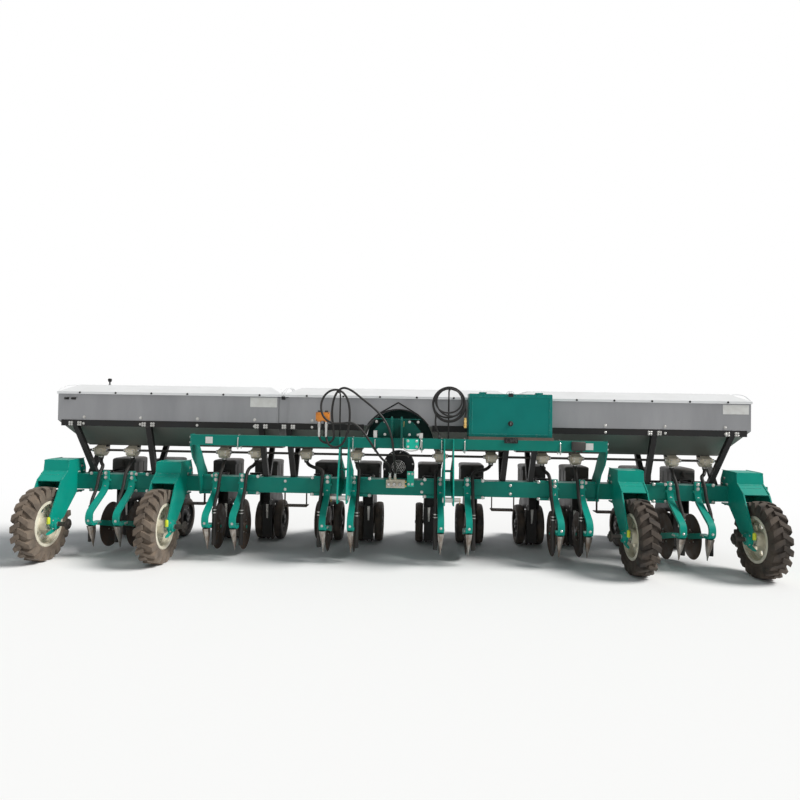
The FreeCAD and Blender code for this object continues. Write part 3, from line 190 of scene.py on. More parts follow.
def together(*shapes):
    """Several shapes as one pair of arrays."""
    starts = np.cumsum([0] + [len(points) for points, faces in shapes[:-1]])
    return (np.concatenate([points for points, faces in shapes]),
            np.concatenate([faces + start for (points, faces), start in zip(shapes, starts)]))


def copies(shape, places):
    """The shape moved by each of the places: point + place."""
    points, faces = shape
    places = np.asarray(places, float).reshape(-1, 3)
    moved = points[None] + places[:, None]
    shift = np.arange(len(places))[:, None, None] * len(points)
    return moved.reshape(-1, 3), (faces[None] + shift).reshape(-1, 4)


def turned(profile, steps, centre, axis=0, closed=False, way=1):
    """Surface of revolution about a line parallel to X, Y or Z, towards its plus or minus end.

    point = centre + way * along * axis + radius * (cos a * next axis + sin a * last axis); an
    open profile is closed with a pole at each end."""
    profile = np.asarray(profile, float) * (way, 1)
    if not closed:
        profile = np.vstack([[profile[0, 0], 0], profile, [profile[-1, 0], 0]])
    angle = np.arange(steps) * 2 * np.pi / steps
    basis = np.roll(np.eye(3), -axis, axis=0)
    around = np.cos(angle)[:, None] * basis[1] + np.sin(angle)[:, None] * basis[2]
    points = (np.asarray(centre, float) + profile[:, 0, None, None] * basis[0]
              + profile[:, 1, None, None] * around)
    return surface(points, round_u=closed, round_v=True)


def carried(section, path, side, loop=False, widths=None):
    """Closed section carried along a path and closed with a pole at each end.

    point = path + size * (s * side + t * up), where up is square to the path and the side."""
    path = np.asarray(path, float)
    section = np.asarray(section, float)
    side = np.asarray(side, float)
    ahead = (np.roll(path, -1, 0) - np.roll(path, 1, 0)) if loop else np.gradient(path, axis=0)
    ahead /= np.linalg.norm(ahead, axis=1)[:, None]
    across = side - ahead * (ahead * side).sum(1)[:, None]
    across /= np.linalg.norm(across, axis=1)[:, None]
    up = np.cross(ahead, across)
    size = np.ones(len(path)) if widths is None else np.asarray(widths, float)
    points = path[:, None] + size[:, None, None] * (
        section[None, :, :1] * across[:, None] + section[None, :, 1:] * up[:, None])
    if not loop:
        cap = np.ones((1, len(section), 1))
        points = np.concatenate([path[:1, None] * cap, points, path[-1:, None] * cap])
    return surface(points, round_u=loop, round_v=True)


def stacked(outline, levels, axis=2):
    """Outline repeated at each level, drawn in by that level's inset, with poles at both ends.

    ring = middle + (outline - middle) * (1 - inset / distance from the middle)."""
    outline = np.asarray(outline, float)
    middle = outline.mean(0)
    away = outline - middle
    reach = np.linalg.norm(away, axis=1)
    rows = [(levels[0][0], np.zeros(len(outline)))]
    rows += [(height, np.clip(1 - inset / reach, 0, 1)) for height, inset in levels]
    rows += [(levels[-1][0], np.zeros(len(outline)))]
    points = np.zeros((len(rows), len(outline), 3))
    flat = [(axis + 1) % 3, (axis + 2) % 3]
    points[:, :, axis] = np.array([height for height, scale in rows])[:, None]
    points[:, :, flat] = middle + np.array([scale for height, scale in rows])[:, :, None] * away
    return surface(points, round_v=True)


def plate(outline, low, high, edge=0.0015, axis=2):
    """Flat plate with eased edges between two levels."""
    low, high = sorted((low, high))
    return stacked(outline, [(low, edge), (low + edge, 0), (high - edge, 0), (high, edge)], axis)


def rounded(x0, x1, y0, y1, radius, steps=4):
    """Outline of a rectangle with round corners: corner centre + radius * (cos a, sin a)."""
    angle = np.linspace(0, np.pi / 2, steps)
    arc = np.stack([np.cos(angle), np.sin(angle)], axis=1) * radius
    quarter = np.array([[0, -1], [1, 0]])
    corners = [(x1 - radius, y1 - radius), (x0 + radius, y1 - radius),
               (x0 + radius, y0 + radius), (x1 - radius, y0 + radius)]
    turns = [np.linalg.matrix_power(quarter.T, number) for number in range(4)]
    return np.concatenate([np.array(c) + arc @ t for c, t in zip(corners, turns)])


def circle(radius, steps):
    """Round section: radius * (cos a, sin a)."""
    angle = np.arange(steps) * 2 * np.pi / steps
    return radius * np.stack([np.cos(angle), np.sin(angle)], axis=1)


def bar_section(width, depth, ease):
    """Flat section with chamfered corners."""
    w, d, e = width / 2, depth / 2, ease * min(width, depth)
    return np.array([(w, d - e), (w - e, d), (e - w, d), (-w, d - e),
                     (-w, e - d), (e - w, -d), (w - e, -d), (w, e - d)])


def smooth_path(points, steps=40, cuts=2):
    """Bent bar's line: each cut puts points at a quarter and three quarters of every run."""
    path = np.asarray(points, float)
    for _ in range(cuts):
        left = path[:-1] * 0.75 + path[1:] * 0.25
        right = path[:-1] * 0.25 + path[1:] * 0.75
        inner = np.stack([left, right], axis=1).reshape(-1, 3)
        path = np.vstack([path[:1], inner[1:-1], path[-1:]])
    return resampled(path, steps)


def resampled(path, steps):
    """Points at even distances along a path."""
    run = np.concatenate([[0], np.cumsum(np.linalg.norm(np.diff(path, axis=0), axis=1))])
    even = np.linspace(0, run[-1], steps)
    return np.stack([np.interp(even, run, path[:, k]) for k in range(3)], axis=1)


def coil_path(start, end, radius, turns, per_turn):
    """Helix round the line from start to end: line(t) + radius * (cos, sin)(2 pi turns t)."""
    start, end = np.asarray(start, float), np.asarray(end, float)
    t = np.linspace(0, 1, int(turns * per_turn) + 1)
    ahead = (end - start) / np.linalg.norm(end - start)
    across = np.cross(ahead, (1.0, 0.0, 0.0))
    across /= np.linalg.norm(across)
    up = np.cross(ahead, across)
    angle = 2 * np.pi * turns * t
    return (start + t[:, None] * (end - start) + radius * np.cos(angle)[:, None] * across
            + radius * np.sin(angle)[:, None] * up)


def ring(centre, radius, count, axis=0, start=0.0, step=0.0):
    """Points round an axis: centre + radius * (cos a, sin a) along the other two axes.

    The radius is one number, one for each axis, or a column with one for each point. The step
    between two points is an even share of the full turn where none is given."""
    angle = start + np.arange(count) * (step or 2 * np.pi / count)
    wave = np.insert([np.cos(angle), np.sin(angle)], axis, 0.0, axis=0).T
    return np.asarray(centre, float) + np.asarray(radius) * wave


def rod(line, thick, steps=6, side=(0, 0, 1), **more):
    """Round bar or wire: a circle of its radius carried along a line."""
    return carried(circle(thick, steps), line, side, **more)


def strip(line, width, depth, ease=0.3, side=(1, 0, 0), **more):
    """Flat bar: a section with chamfered corners carried along a line."""
    return carried(bar_section(width, depth, ease), line, side, **more)


def hoop(centre, radius, thick, count, axis=0, steps=5):
    """Wire bent into a ring: a small circle carried round the points of a ring."""
    return rod(ring(centre, radius, count, axis), thick, steps, np.eye(3)[axis], loop=True)


def mirrored(half, shared=0):
    """Closed profile: a half, then (-along, radius) of it backwards, less shared points."""
    half = np.array(half, float)
    return np.vstack([half, half[::-1][shared:] * (-1, 1)])


def bolts(axis, way, size, places):
    """Bolt heads on faces square to an axis: a washer in ten steps and a six-sided head.

    Each is a profile turned about the axis and moved to every place."""
    washer = turned([(0, size * 1.35), (size * 0.22, size * 1.3)], 10, (0, 0, 0), axis, way=way)
    head = turned([(size * 0.2, size), (size * 0.85, size), (size, size * 0.8)], 6, (0, 0, 0),
                  axis, way=way)
    return copies(together(washer, head), places)


def rivets(axis, way, size, places):
    """Low domes on a face: radius and height follow a quarter circle."""
    angle = np.linspace(0.0, 1.35, 4)
    profile = np.stack([size * 0.55 * np.sin(angle), size * np.cos(angle)], axis=1)
    return copies(turned(profile, 10, (0, 0, 0), axis, way=way), places)


def piece(name, shapes, slot, finish=None, body="machine_frame", crease=35):
    """Makes a mesh object of the shapes, with doubles merged and faces outward, on its body."""
    points, faces = together(*shapes)
    mesh = bpy.data.meshes.new(name)
    mesh.vertices.add(len(points))
    mesh.vertices.foreach_set("co", points.ravel())
    mesh.loops.add(faces.size)
    mesh.loops.foreach_set("vertex_index", faces.ravel().astype(np.int32))
    mesh.polygons.add(len(faces))
    mesh.polygons.foreach_set("loop_start", np.arange(0, faces.size, 4, dtype=np.int32))
    mesh.update(calc_edges=True)
    work = bmesh.new()
    work.from_mesh(mesh)
    bmesh.ops.remove_doubles(work, verts=work.verts, dist=0.00002)
    bmesh.ops.dissolve_degenerate(work, edges=work.edges, dist=0.00001)
    bmesh.ops.recalc_face_normals(work, faces=work.faces)
    work.to_mesh(mesh)
    work.free()
    mesh.validate()
    mesh.shade_smooth()
    mesh.set_sharp_from_angle(angle=math.radians(crease))
    mesh.materials.append(FINISHES[finish or slot])
    thing = bpy.data.objects.new(name, mesh)
    bpy.context.scene.collection.objects.link(thing)
    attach(thing, body)
    return thing


# Shared surface effects

def node(tree, kind, links=(), **settings):
    """Adds a node, sets its properties, and joins or sets its inputs by name or number."""
    made = tree.nodes.new("ShaderNode" + kind)
    for key, value in settings.items():
        setattr(made, key, value)
    for key, value in dict(links).items():
        target = made.inputs[key]
        if isinstance(value, bpy.types.NodeSocket):
            tree.links.new(value, target)
        else:
            target.default_value = value
    return made


def mixed(tree, mask, *colours):
    """Colour mix: first * (1 - mask) + second * mask."""
    first, second = [value if isinstance(value, bpy.types.NodeSocket) else (*value[:3], 1.0)
                     for value in colours]
    return node(tree, "Mix", {0: mask, 6: first, 7: second}, data_type="RGBA").outputs[2]


def math_of(tree, operation, first, second=0.5, clamp=False):
    """Result of a math node."""
    return node(tree, "Math", {0: first, 1: second}, operation=operation,
                use_clamp=clamp).outputs[0]


def effect_tree(name, wanted, results):
    """New node group with its named inputs and outputs; gives the tree and their sockets."""
    tree = bpy.data.node_groups.new(name, "ShaderNodeTree")
    for label, kind, value in (("Vector", "Vector", None), *wanted):
        made = tree.interface.new_socket(label, in_out="INPUT", socket_type="NodeSocket" + kind)
        if value is not None:
            made.default_value = value
    for label in results:
        tree.interface.new_socket(label, in_out="OUTPUT", socket_type="NodeSocketFloat")
    return tree, tree.nodes.new("NodeGroupInput").outputs, tree.nodes.new("NodeGroupOutput").inputs


def noise(tree, vector, scale, detail, roughness):
    """Height of a noise texture."""
    return node(tree, "TexNoise",
                {"Vector": vector, "Scale": scale, "Detail": detail,
                 "Roughness": roughness}).outputs[0]


def ramp(tree, value, low, high, first=0.0, last=1.0, **settings):
    """Straight map: first + (value - low) / (high - low) * (last - first), held at the ends."""
    return node(tree, "MapRange",
                {"Value": value, "From Min": low, "From Max": high, "To Min": first,
                 "To Max": last}, **settings).outputs[0]


def worn_edges():
    """Mask of rubbed edges: how far a rounded normal turns from the true one, broken by noise."""
    tree, given, result = effect_tree("Worn edges",
                                      (("Radius", "Float", 0.003), ("Amount", "Float", 0.5)),
                                      ["Mask"])
    soft = node(tree, "Bevel", {"Radius": given["Radius"]}, samples=4)
    true = node(tree, "NewGeometry")
    turn = node(tree, "VectorMath", {0: soft.outputs[0], 1: true.outputs["Normal"]},
                operation="DOT_PRODUCT")
    edge = ramp(tree, turn.outputs["Value"], 0.985, 0.86)
    broken = ramp(tree, noise(tree, given["Vector"], 38.0, 4.0, 0.65), 0.46, 0.60)
    mask = math_of(tree, "MULTIPLY", edge, broken)
    tree.links.new(math_of(tree, "MULTIPLY", mask, given["Amount"], clamp=True), result["Mask"])
    return tree


def settled_dust():
    """Mask of dry soil: noise that grows on upward faces and towards the ground."""
    tree, given, result = effect_tree("Settled dust",
                                      (("Amount", "Float", 0.4), ("Reach", "Float", 0.8),
                                       ("Scale", "Float", 6.0)), ["Mask"])
    broad = noise(tree, given["Vector"], given["Scale"], 6.0, 0.62)
    facing = node(tree, "SeparateXYZ", {0: node(tree, "NewGeometry").outputs["Normal"]})
    upward = ramp(tree, facing.outputs["Z"], 0.1, 1.0, last=0.45)
    height = node(tree, "SeparateXYZ", {0: given["Vector"]})
    share = math_of(tree, "DIVIDE", height.outputs["Z"], given["Reach"])
    total = math_of(tree, "ADD", upward, ramp(tree, share, 1.0, 0.0, last=0.55))
    total = math_of(tree, "ADD", total, 0.25)
    mask = math_of(tree, "MULTIPLY", total, ramp(tree, broad, 0.32, 0.68))
    tree.links.new(math_of(tree, "MULTIPLY", mask, given["Amount"], clamp=True), result["Mask"])
    return tree


def surface_grain():
    """Fine height and a slow mottle: two noises on a stretched vector."""
    tree, given, result = effect_tree("Surface grain",
                                      (("Stretch", "Vector", (1.0, 1.0, 1.0)),
                                       ("Scale", "Float", 400.0), ("Mottle Scale", "Float", 5.0)),
                                      ["Height", "Mottle"])
    drawn = node(tree, "VectorMath", {0: given["Vector"], 1: given["Stretch"]},
                 operation="MULTIPLY").outputs[0]
    tree.links.new(noise(tree, drawn, given["Scale"], 3.0, 0.6), result["Height"])
    tree.links.new(noise(tree, drawn, given["Mottle Scale"], 5.0, 0.55), result["Mottle"])
    return tree


EFFECTS, FINISHES = {}, {}


def effect(tree, name, vector, **values):
    """Places a shared effect in a material with its own values."""
    made = tree.nodes.new("ShaderNodeGroup")
    made.node_tree = EFFECTS[name]
    tree.links.new(vector, made.inputs["Vector"])
    for key, value in values.items():
        made.inputs[key.replace("_", " ").title()].default_value = value
    return made


def finish(key, name, colour, rough, spread=0.12, metal=0.0, coat=0.0, tint=None, tint_amount=0.5,
           stretch=(1, 1, 1), grain=400.0, mottle=5.0, bump=0.2, depth=0.0006, wear=0.0,
           bare=(0.42, 0.42, 0.40), dust=0.3, reach=0.9, dust_scale=6.0, sheen=0.0, specular=0.5,
           painted_shade_below=None):
    """One finish: mottled colour, worn edges, settled dust, fine height and uneven gloss.

    The last argument paints shade low down: a second, darker colour takes over under the given
    height, within 8 mm."""
    material = bpy.data.materials.new(name)
    material.use_nodes = True
    tree = material.node_tree
    tree.nodes.clear()
    output = tree.nodes.new("ShaderNodeOutputMaterial")
    shader = tree.nodes.new("ShaderNodeBsdfPrincipled")
    tree.links.new(shader.outputs[0], output.inputs[0])
    place = tree.nodes.new("ShaderNodeTexCoord").outputs["Object"]
    texture = effect(tree, "grain", place, stretch=stretch, scale=grain, mottle_scale=mottle)
    slow = ramp(tree, texture.outputs["Mottle"], 0.35, 0.66)
    second = tint if tint is not None else tuple(0.72 * part for part in colour)
    amount = math_of(tree, "MULTIPLY", slow, tint_amount)
    paint = mixed(tree, amount, colour, second)
    # Painted shade: under the given height the colour turns to the darker second colour.
    if painted_shade_below:
        rise = node(tree, "SeparateXYZ", {"Vector": place}).outputs["Z"]
        paint = mixed(tree, ramp(tree, rise, painted_shade_below[1], painted_shade_below[1] - 0.008), paint, painted_shade_below[0])
    metallic = None
    if wear:
        rubbed = effect(tree, "wear", place, amount=wear)
        paint = mixed(tree, rubbed.outputs[0], paint, bare)
        metallic = math_of(tree, "MULTIPLY", rubbed.outputs[0], 0.85)
    soil = effect(tree, "dust", place, amount=dust, reach=reach, scale=dust_scale)
    paint = mixed(tree, soil.outputs[0], paint, tuple(sizes("seeder_paints").soil))
    tree.links.new(paint, shader.inputs["Base Color"])
    gloss = ramp(tree, texture.outputs["Mottle"], 0.3, 0.7, max(0.04, rough - spread),
                 min(1.0, rough + spread))
    dull = math_of(tree, "MULTIPLY", soil.outputs[0], 0.9 - rough)
    tree.links.new(math_of(tree, "ADD", gloss, dull, clamp=True), shader.inputs["Roughness"])
    if metallic is not None and not metal:
        tree.links.new(metallic, shader.inputs["Metallic"])
    else:
        shader.inputs["Metallic"].default_value = metal
    shader.inputs["Specular IOR Level"].default_value = specular
    shader.inputs["Coat Weight"].default_value = coat
    shader.inputs["Coat Roughness"].default_value = 0.18
    if sheen:
        shader.inputs["Sheen Weight"].default_value = sheen
        shader.inputs["Sheen Roughness"].default_value = 0.5
    height = node(tree, "Bump", {"Height": texture.outputs["Height"], "Strength": bump,
                                 "Distance": depth})
    tree.links.new(height.outputs[0], shader.inputs["Normal"])
    FINISHES[key] = material


def make_finishes():
    """All finishes, by the name of the slot that they belong to."""
    paints = sizes("seeder_paints")
    EFFECTS.update(wear=worn_edges(), dust=settled_dust(), grain=surface_grain())
    teal, black = tuple(paints.teal), tuple(paints.black)
    finish("teal_paint", "Teal paint", teal, 0.42, wear=0.7, dust=0.07, reach=0.9,
           tint=(0.0, 0.27, 0.215), tint_amount=0.6, grain=260, bump=0.12, specular=0.18)
    # Painted shade: the two bars, their end plates and clamps get a copy of the teal at 0.64 of
    # its brightness, for the shade under the hopper.
    finish("shaded_bar_paint", "Bar paint with painted shade", tuple(0.64 * c for c in teal), 0.42, wear=0.6, dust=0.10,
           reach=0.9, tint=(0.0, 0.165, 0.135), tint_amount=0.6, grain=260, bump=0.12,
           specular=0.18)
    finish("box_paint", "Toolbox paint", (0.0, 0.205, 0.175), 0.40, wear=0.6, dust=0.04,
           tint=(0.0, 0.165, 0.145), grain=260, bump=0.1, specular=0.18)
    finish("bright_paint", "Bright bracket paint", tuple(paints.bright), 0.38, coat=0.1, wear=0.4,
           dust=0.06, grain=260, bump=0.1, specular=0.3)
    finish("black_paint", "Black paint", black, 0.48, wear=0.5, dust=0.06, reach=0.9,
           tint=(0.018, 0.015, 0.013), grain=300, bump=0.15, specular=0.25)
    # Painted shade: the plate at the back of the arch is a near-black teal that stands for the
    # shade inside the tunnel.
    finish("shaded_tunnel_paint", "Tunnel plate with painted shade", (0.003, 0.040, 0.034), 0.55, dust=0.06,
           tint=(0.002, 0.022, 0.019), grain=260, bump=0.12, specular=0.25)
    finish("shaft_steel", "Oiled steel", (0.060, 0.055, 0.050), 0.45, metal=0.6, mottle=16,
           grain=500, bump=0.15, dust=0.12, reach=0.8)
    # Painted shade: the hopper's lower slopes, under the knee, take a darker grey for the shade
    # under the hopper.
    finish("grey_steel", "Hopper skin", tuple(paints.grey), 0.42, metal=0.55, spread=0.14,
           tint=(0.215, 0.22, 0.23), tint_amount=0.7, stretch=(1, 1, 0.25), mottle=2.2, grain=700,
           bump=0.10, wear=0.0, dust=0.12, reach=1.2, dust_scale=3.0,
           painted_shade_below=((0.17, 0.176, 0.160), 1.302))
    # Painted shade: the mast inside the arch gets a copy of the teal at 0.34 of its brightness,
    # for the shade in the tunnel.
    finish("shaded_mast_paint", "Mast paint with painted shade", tuple(0.34 * c for c in teal), 0.42, wear=0.6, dust=0.06,
           reach=0.9, tint=(0.0, 0.085, 0.072), tint_amount=0.6, grain=260, bump=0.12,
           specular=0.18)
    finish("lid_white", "Lid skin", tuple(paints.lid), 0.5, tint=(0.66, 0.67, 0.67),
           tint_amount=0.35, stretch=(1, 2.5, 1), mottle=3.0, grain=180, bump=0.14, dust=0.12,
           reach=2.2, dust_scale=2.2)
    finish("cream_rim", "Rim paint", tuple(paints.cream), 0.4, coat=0.1, wear=0.6,
           tint=(0.55, 0.50, 0.38), tint_amount=0.6, mottle=9, bump=0.12, bare=(0.16, 0.09, 0.05),
           dust=0.30, reach=1.0, dust_scale=11)
    finish("tyre_rubber", "Tread rubber", (0.070, 0.056, 0.045), 0.88, spread=0.08,
           tint=(0.205, 0.165, 0.130), tint_amount=0.9, mottle=6.5, grain=160, bump=0.35,
           depth=0.001, dust=0.9, reach=1.3, dust_scale=9, sheen=0.15, specular=0.2)
    # Painted shade: a darker copy of the tread rubber, for tyres 3 and 4, whose seen side lies in
    # shade.
    finish("shaded_tyre", "Tread rubber with painted shade", (0.020, 0.0185, 0.0175), 0.74, spread=0.1,
           tint=(0.085, 0.070, 0.060), tint_amount=0.7, mottle=6, grain=160, bump=0.3, depth=0.001,
           dust=0.45, reach=1.1, dust_scale=8, specular=0.3)
    finish("dark_rubber", "Hose rubber", (0.012, 0.012, 0.012), 0.5, spread=0.16,
           tint=(0.022, 0.021, 0.020), mottle=14, grain=500, bump=0.2, dust=0.10, reach=1.2,
           dust_scale=12, specular=0.35)
    finish("wheel_rubber", "Row wheel rubber", (0.014, 0.013, 0.013), 0.7,
           tint=(0.05, 0.038, 0.03), tint_amount=0.7, mottle=9, grain=240, bump=0.3, depth=0.0008,
           dust=0.5, reach=1.0, dust_scale=9)
    finish("dark_plastic", "Moulded box", (0.016, 0.018, 0.019), 0.52, tint=(0.03, 0.03, 0.03),
           mottle=6, grain=900, bump=0.25, depth=0.0004, dust=0.34, reach=1.4, dust_scale=7)
    finish("bare_steel", "Bright steel", (0.55, 0.55, 0.53), 0.32, metal=1.0, spread=0.16,
           tint=(0.34, 0.32, 0.30), mottle=16, grain=600, bump=0.15, dust=0.16, reach=0.8)
    finish("worn_steel", "Ground-worn steel", (0.50, 0.48, 0.45), 0.35, metal=0.9, spread=0.18,
           tint=(0.16, 0.10, 0.065), tint_amount=0.8, stretch=(1, 1, 0.3), mottle=22, grain=300,
           bump=0.3, dust=0.25, reach=0.5)
    finish("cast_alloy", "Cast alloy", (0.74, 0.67, 0.54), 0.5, metal=0.15, spread=0.12,
           tint=(0.50, 0.42, 0.31), mottle=18, grain=900, bump=0.45, depth=0.0008, dust=0.25,
           reach=1.3)
    finish("dark_disc", "Disc steel", (0.045, 0.037, 0.032), 0.48, metal=0.7, spread=0.18,
           tint=(0.085, 0.045, 0.026), tint_amount=0.8, mottle=13, grain=220, bump=0.3, wear=0.5,
           dust=0.5, reach=0.7, dust_scale=13)
    finish("brown_tray", "Tray steel", (0.11, 0.085, 0.065), 0.6, metal=0.2, wear=0.4,
           tint=(0.06, 0.05, 0.042), mottle=12, grain=300, bump=0.3, dust=0.35, reach=2.0)
    finish("brown_step", "Step steel", (0.052, 0.038, 0.030), 0.68, tint=(0.095, 0.06, 0.04),
           tint_amount=0.8, mottle=10, grain=220, bump=0.35, wear=0.5, dust=0.6, reach=0.8)
    finish("orange_plastic", "Holder plastic", tuple(paints.orange), 0.4, coat=0.1,
           tint=(0.62, 0.18, 0.015), mottle=22, grain=800, bump=0.15, dust=0.16, reach=2.0)
    finish("yellow_cap", "Grease cap", (0.72, 0.84, 0.03), 0.4, tint=(0.55, 0.62, 0.03), mottle=30,
           bump=0.1, dust=0.3)
    finish("brass", "Brass", (0.72, 0.50, 0.18), 0.3, metal=1.0, tint=(0.45, 0.28, 0.10),
           mottle=40, grain=900, bump=0.1, dust=0.1)
    finish("blank_plate", "Blank plate", (0.74, 0.74, 0.72), 0.45, tint=(0.60, 0.59, 0.56),
           tint_amount=0.5, mottle=24, bump=0.06, dust=0.18, reach=2.4, dust_scale=20)
    finish("dark_seal", "Collar rubber", (0.02, 0.02, 0.021), 0.75, mottle=20, grain=400, bump=0.3,
           dust=0.35, reach=1.3)


NODE_FINISHES = {
    # Painted shade: the bars take the darkened copy of the teal.
    "shaded_bar_paint": ("toolbar", "upper_bar", "bar_end_plates"),
    # Painted shade: the mast takes the darkened copy of the teal.
    "shaded_mast_paint": ("top_mast",),
    "teal_paint": ("hitch_plates", "wheel_fork_1", "wheel_fork_2", "wheel_fork_3", "wheel_fork_4",
                   "opener_shanks"),
    "box_paint": ("toolbox", "toolbox_door"),
    "bright_paint": ("small_brackets",),
    # Painted shade: the arch plate takes the near-black teal.
    "shaded_tunnel_paint": ("arch_back",),
    "black_paint": ("hopper_rails", "hopper_legs", "lid_hinges", "row_unit_frames", "fan",
                    "hose_hooks"),
    "brown_step": ("steps",),
    "grey_steel": ("hopper_left", "hopper_centre", "hopper_right", "hopper_joint_strips"),
    "lid_white": ("lid_left", "lid_centre", "lid_right"),
    "cream_rim": ("rim_1", "rim_2", "rim_3", "rim_4"),
    "bare_steel": ("hitch_pins", "quick_couplers"),
    "shaft_steel": ("meter_shaft",),
    "brass": ("cable_plug",),
    "cast_alloy": ("fertiliser_meters", "hydraulic_block"),
    "brown_tray": ("toolbox_tray",),
    "dark_plastic": ("seed_boxes",),
    "dark_disc": ("seed_openers",),
}


class SEEDER_OT_finishes(bpy.types.Operator):
    """Makes the finishes and gives each kept CAD node its own"""

    bl_idname = "seeder.finishes"
    bl_label = "Finishes"

    def execute(self, context):
        make_finishes()
        for name, members in NODE_FINISHES.items():
            for member in members:
                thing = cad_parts[member]
                if not thing.material_slots:
                    thing.data.materials.append(FINISHES[name])
                for slot in thing.material_slots:
                    slot.material = FINISHES[name]
        return {"FINISHED"}


# Camera, floor and light

CAMERA_PLACE = (0.202, -6.197, 1.454)
CAMERA_YAW, CAMERA_PITCH, CAMERA_ROLL = 0.032, 0.017, 0.016


def seen_rays(tree):
    """1 for rays that show a thing straight on, in a reflection or through glass, else 0."""
    rays = tree.nodes.new("ShaderNodeLightPath")
    seen = math_of(tree, "MAXIMUM", rays.outputs["Is Camera Ray"], rays.outputs["Is Glossy Ray"])
    return math_of(tree, "MAXIMUM", seen, rays.outputs["Is Transmission Ray"])


class SEEDER_OT_stage(bpy.types.Operator):
    """Sets the camera in front of the machine, the pale floor and the soft light"""

    bl_idname = "seeder.stage"
    bl_label = "Stage"

    def execute(self, context):
        scene = context.scene
        studio = sizes("seeder_studio")
        scene.view_settings.view_transform = "Standard"
        lens = bpy.data.cameras.new("Camera")
        lens.sensor_width = 36
        lens.lens = 27
        lens.clip_end = 200
        view = bpy.data.objects.new("Camera", lens)
        scene.collection.objects.link(view)
        turn_x = np.array([math.cos(CAMERA_YAW), math.sin(CAMERA_YAW), 0])
        level = np.array([-math.sin(CAMERA_YAW), math.cos(CAMERA_YAW), 0])
        plumb = np.array([0, 0, 1])
        ahead = math.cos(CAMERA_PITCH) * level + math.sin(CAMERA_PITCH) * plumb
        over = -math.sin(CAMERA_PITCH) * level + math.cos(CAMERA_PITCH) * plumb
        right = math.cos(CAMERA_ROLL) * turn_x + math.sin(CAMERA_ROLL) * over
        up = -math.sin(CAMERA_ROLL) * turn_x + math.cos(CAMERA_ROLL) * over
        grip = Matrix(np.stack([right, up, -ahead], axis=1).tolist()).to_4x4()
        view.matrix_world = Matrix.Translation(CAMERA_PLACE) @ grip
        scene.camera = view

        key = bpy.data.lights.new("Key", "SUN")
        key.energy = studio.sun
        key.angle = math.radians(24)
        key.color = (1.0, 0.985, 0.96)
        lamp = bpy.data.objects.new("Key", key)
        lamp.rotation_euler = Vector((-0.9, 0.2, -0.9)).to_track_quat("-Z", "Y").to_euler()
        scene.collection.objects.link(lamp)

        half = studio.floor
        mesh = bpy.data.meshes.new("Floor")
        side = np.linspace(-half, half, 5)
        grid = np.stack([*np.meshgrid(side, side, indexing="ij"), np.zeros((5, 5))], axis=-1)
        points, faces = surface(grid)
        mesh.from_pydata(points.tolist(), [], faces.tolist())
        mesh.materials.append(self.floor_finish())
        floor = bpy.data.objects.new("Floor", mesh)
        scene.collection.objects.link(floor)
        self.sky(scene, studio.sky)
        return {"FINISHED"}

    def floor_finish(self):
        """Pale floor that fades into the white round it a few metres from the machine."""
        material = bpy.data.materials.new("Pale floor")
        material.use_nodes = True
        tree = material.node_tree
        tree.nodes.clear()
        output = tree.nodes.new("ShaderNodeOutputMaterial")
        matt = node(tree, "BsdfDiffuse", {"Color": (0.93, 0.93, 0.93, 1)})
        glow = node(tree, "Emission", {"Color": (1, 1, 1, 1), "Strength": 1.0})
        place = tree.nodes.new("ShaderNodeTexCoord").outputs["Object"]
        far = node(tree, "VectorMath", {0: place}, operation="LENGTH")
        fade = ramp(tree, far.outputs["Value"], 3.9, 7.5, interpolation_type="SMOOTHSTEP")
        amount = math_of(tree, "MULTIPLY", fade, seen_rays(tree))
        both = node(tree, "MixShader", {0: amount, 1: matt.outputs[0], 2: glow.outputs[0]})
        tree.links.new(both.outputs[0], output.inputs[0])
        return material

    def sky(self, scene, strength):
        """Even light from all round, seen as plain white by the camera and in reflections."""
        world = bpy.data.worlds.new("Sky")
        scene.world = world
        world.use_nodes = True
        tree = world.node_tree
        tree.nodes.clear()
        output = tree.nodes.new("ShaderNodeOutputWorld")
        even = node(tree, "Background", {"Color": (0.93, 0.97, 1.0, 1), "Strength": strength})
        white = node(tree, "Background", {"Color": (1, 1, 1, 1), "Strength": 1.0})
        both = node(tree, "MixShader",
                    {0: seen_rays(tree), 1: even.outputs[0], 2: white.outputs[0]})
        tree.links.new(both.outputs[0], output.inputs[0])


# Hoses and cable

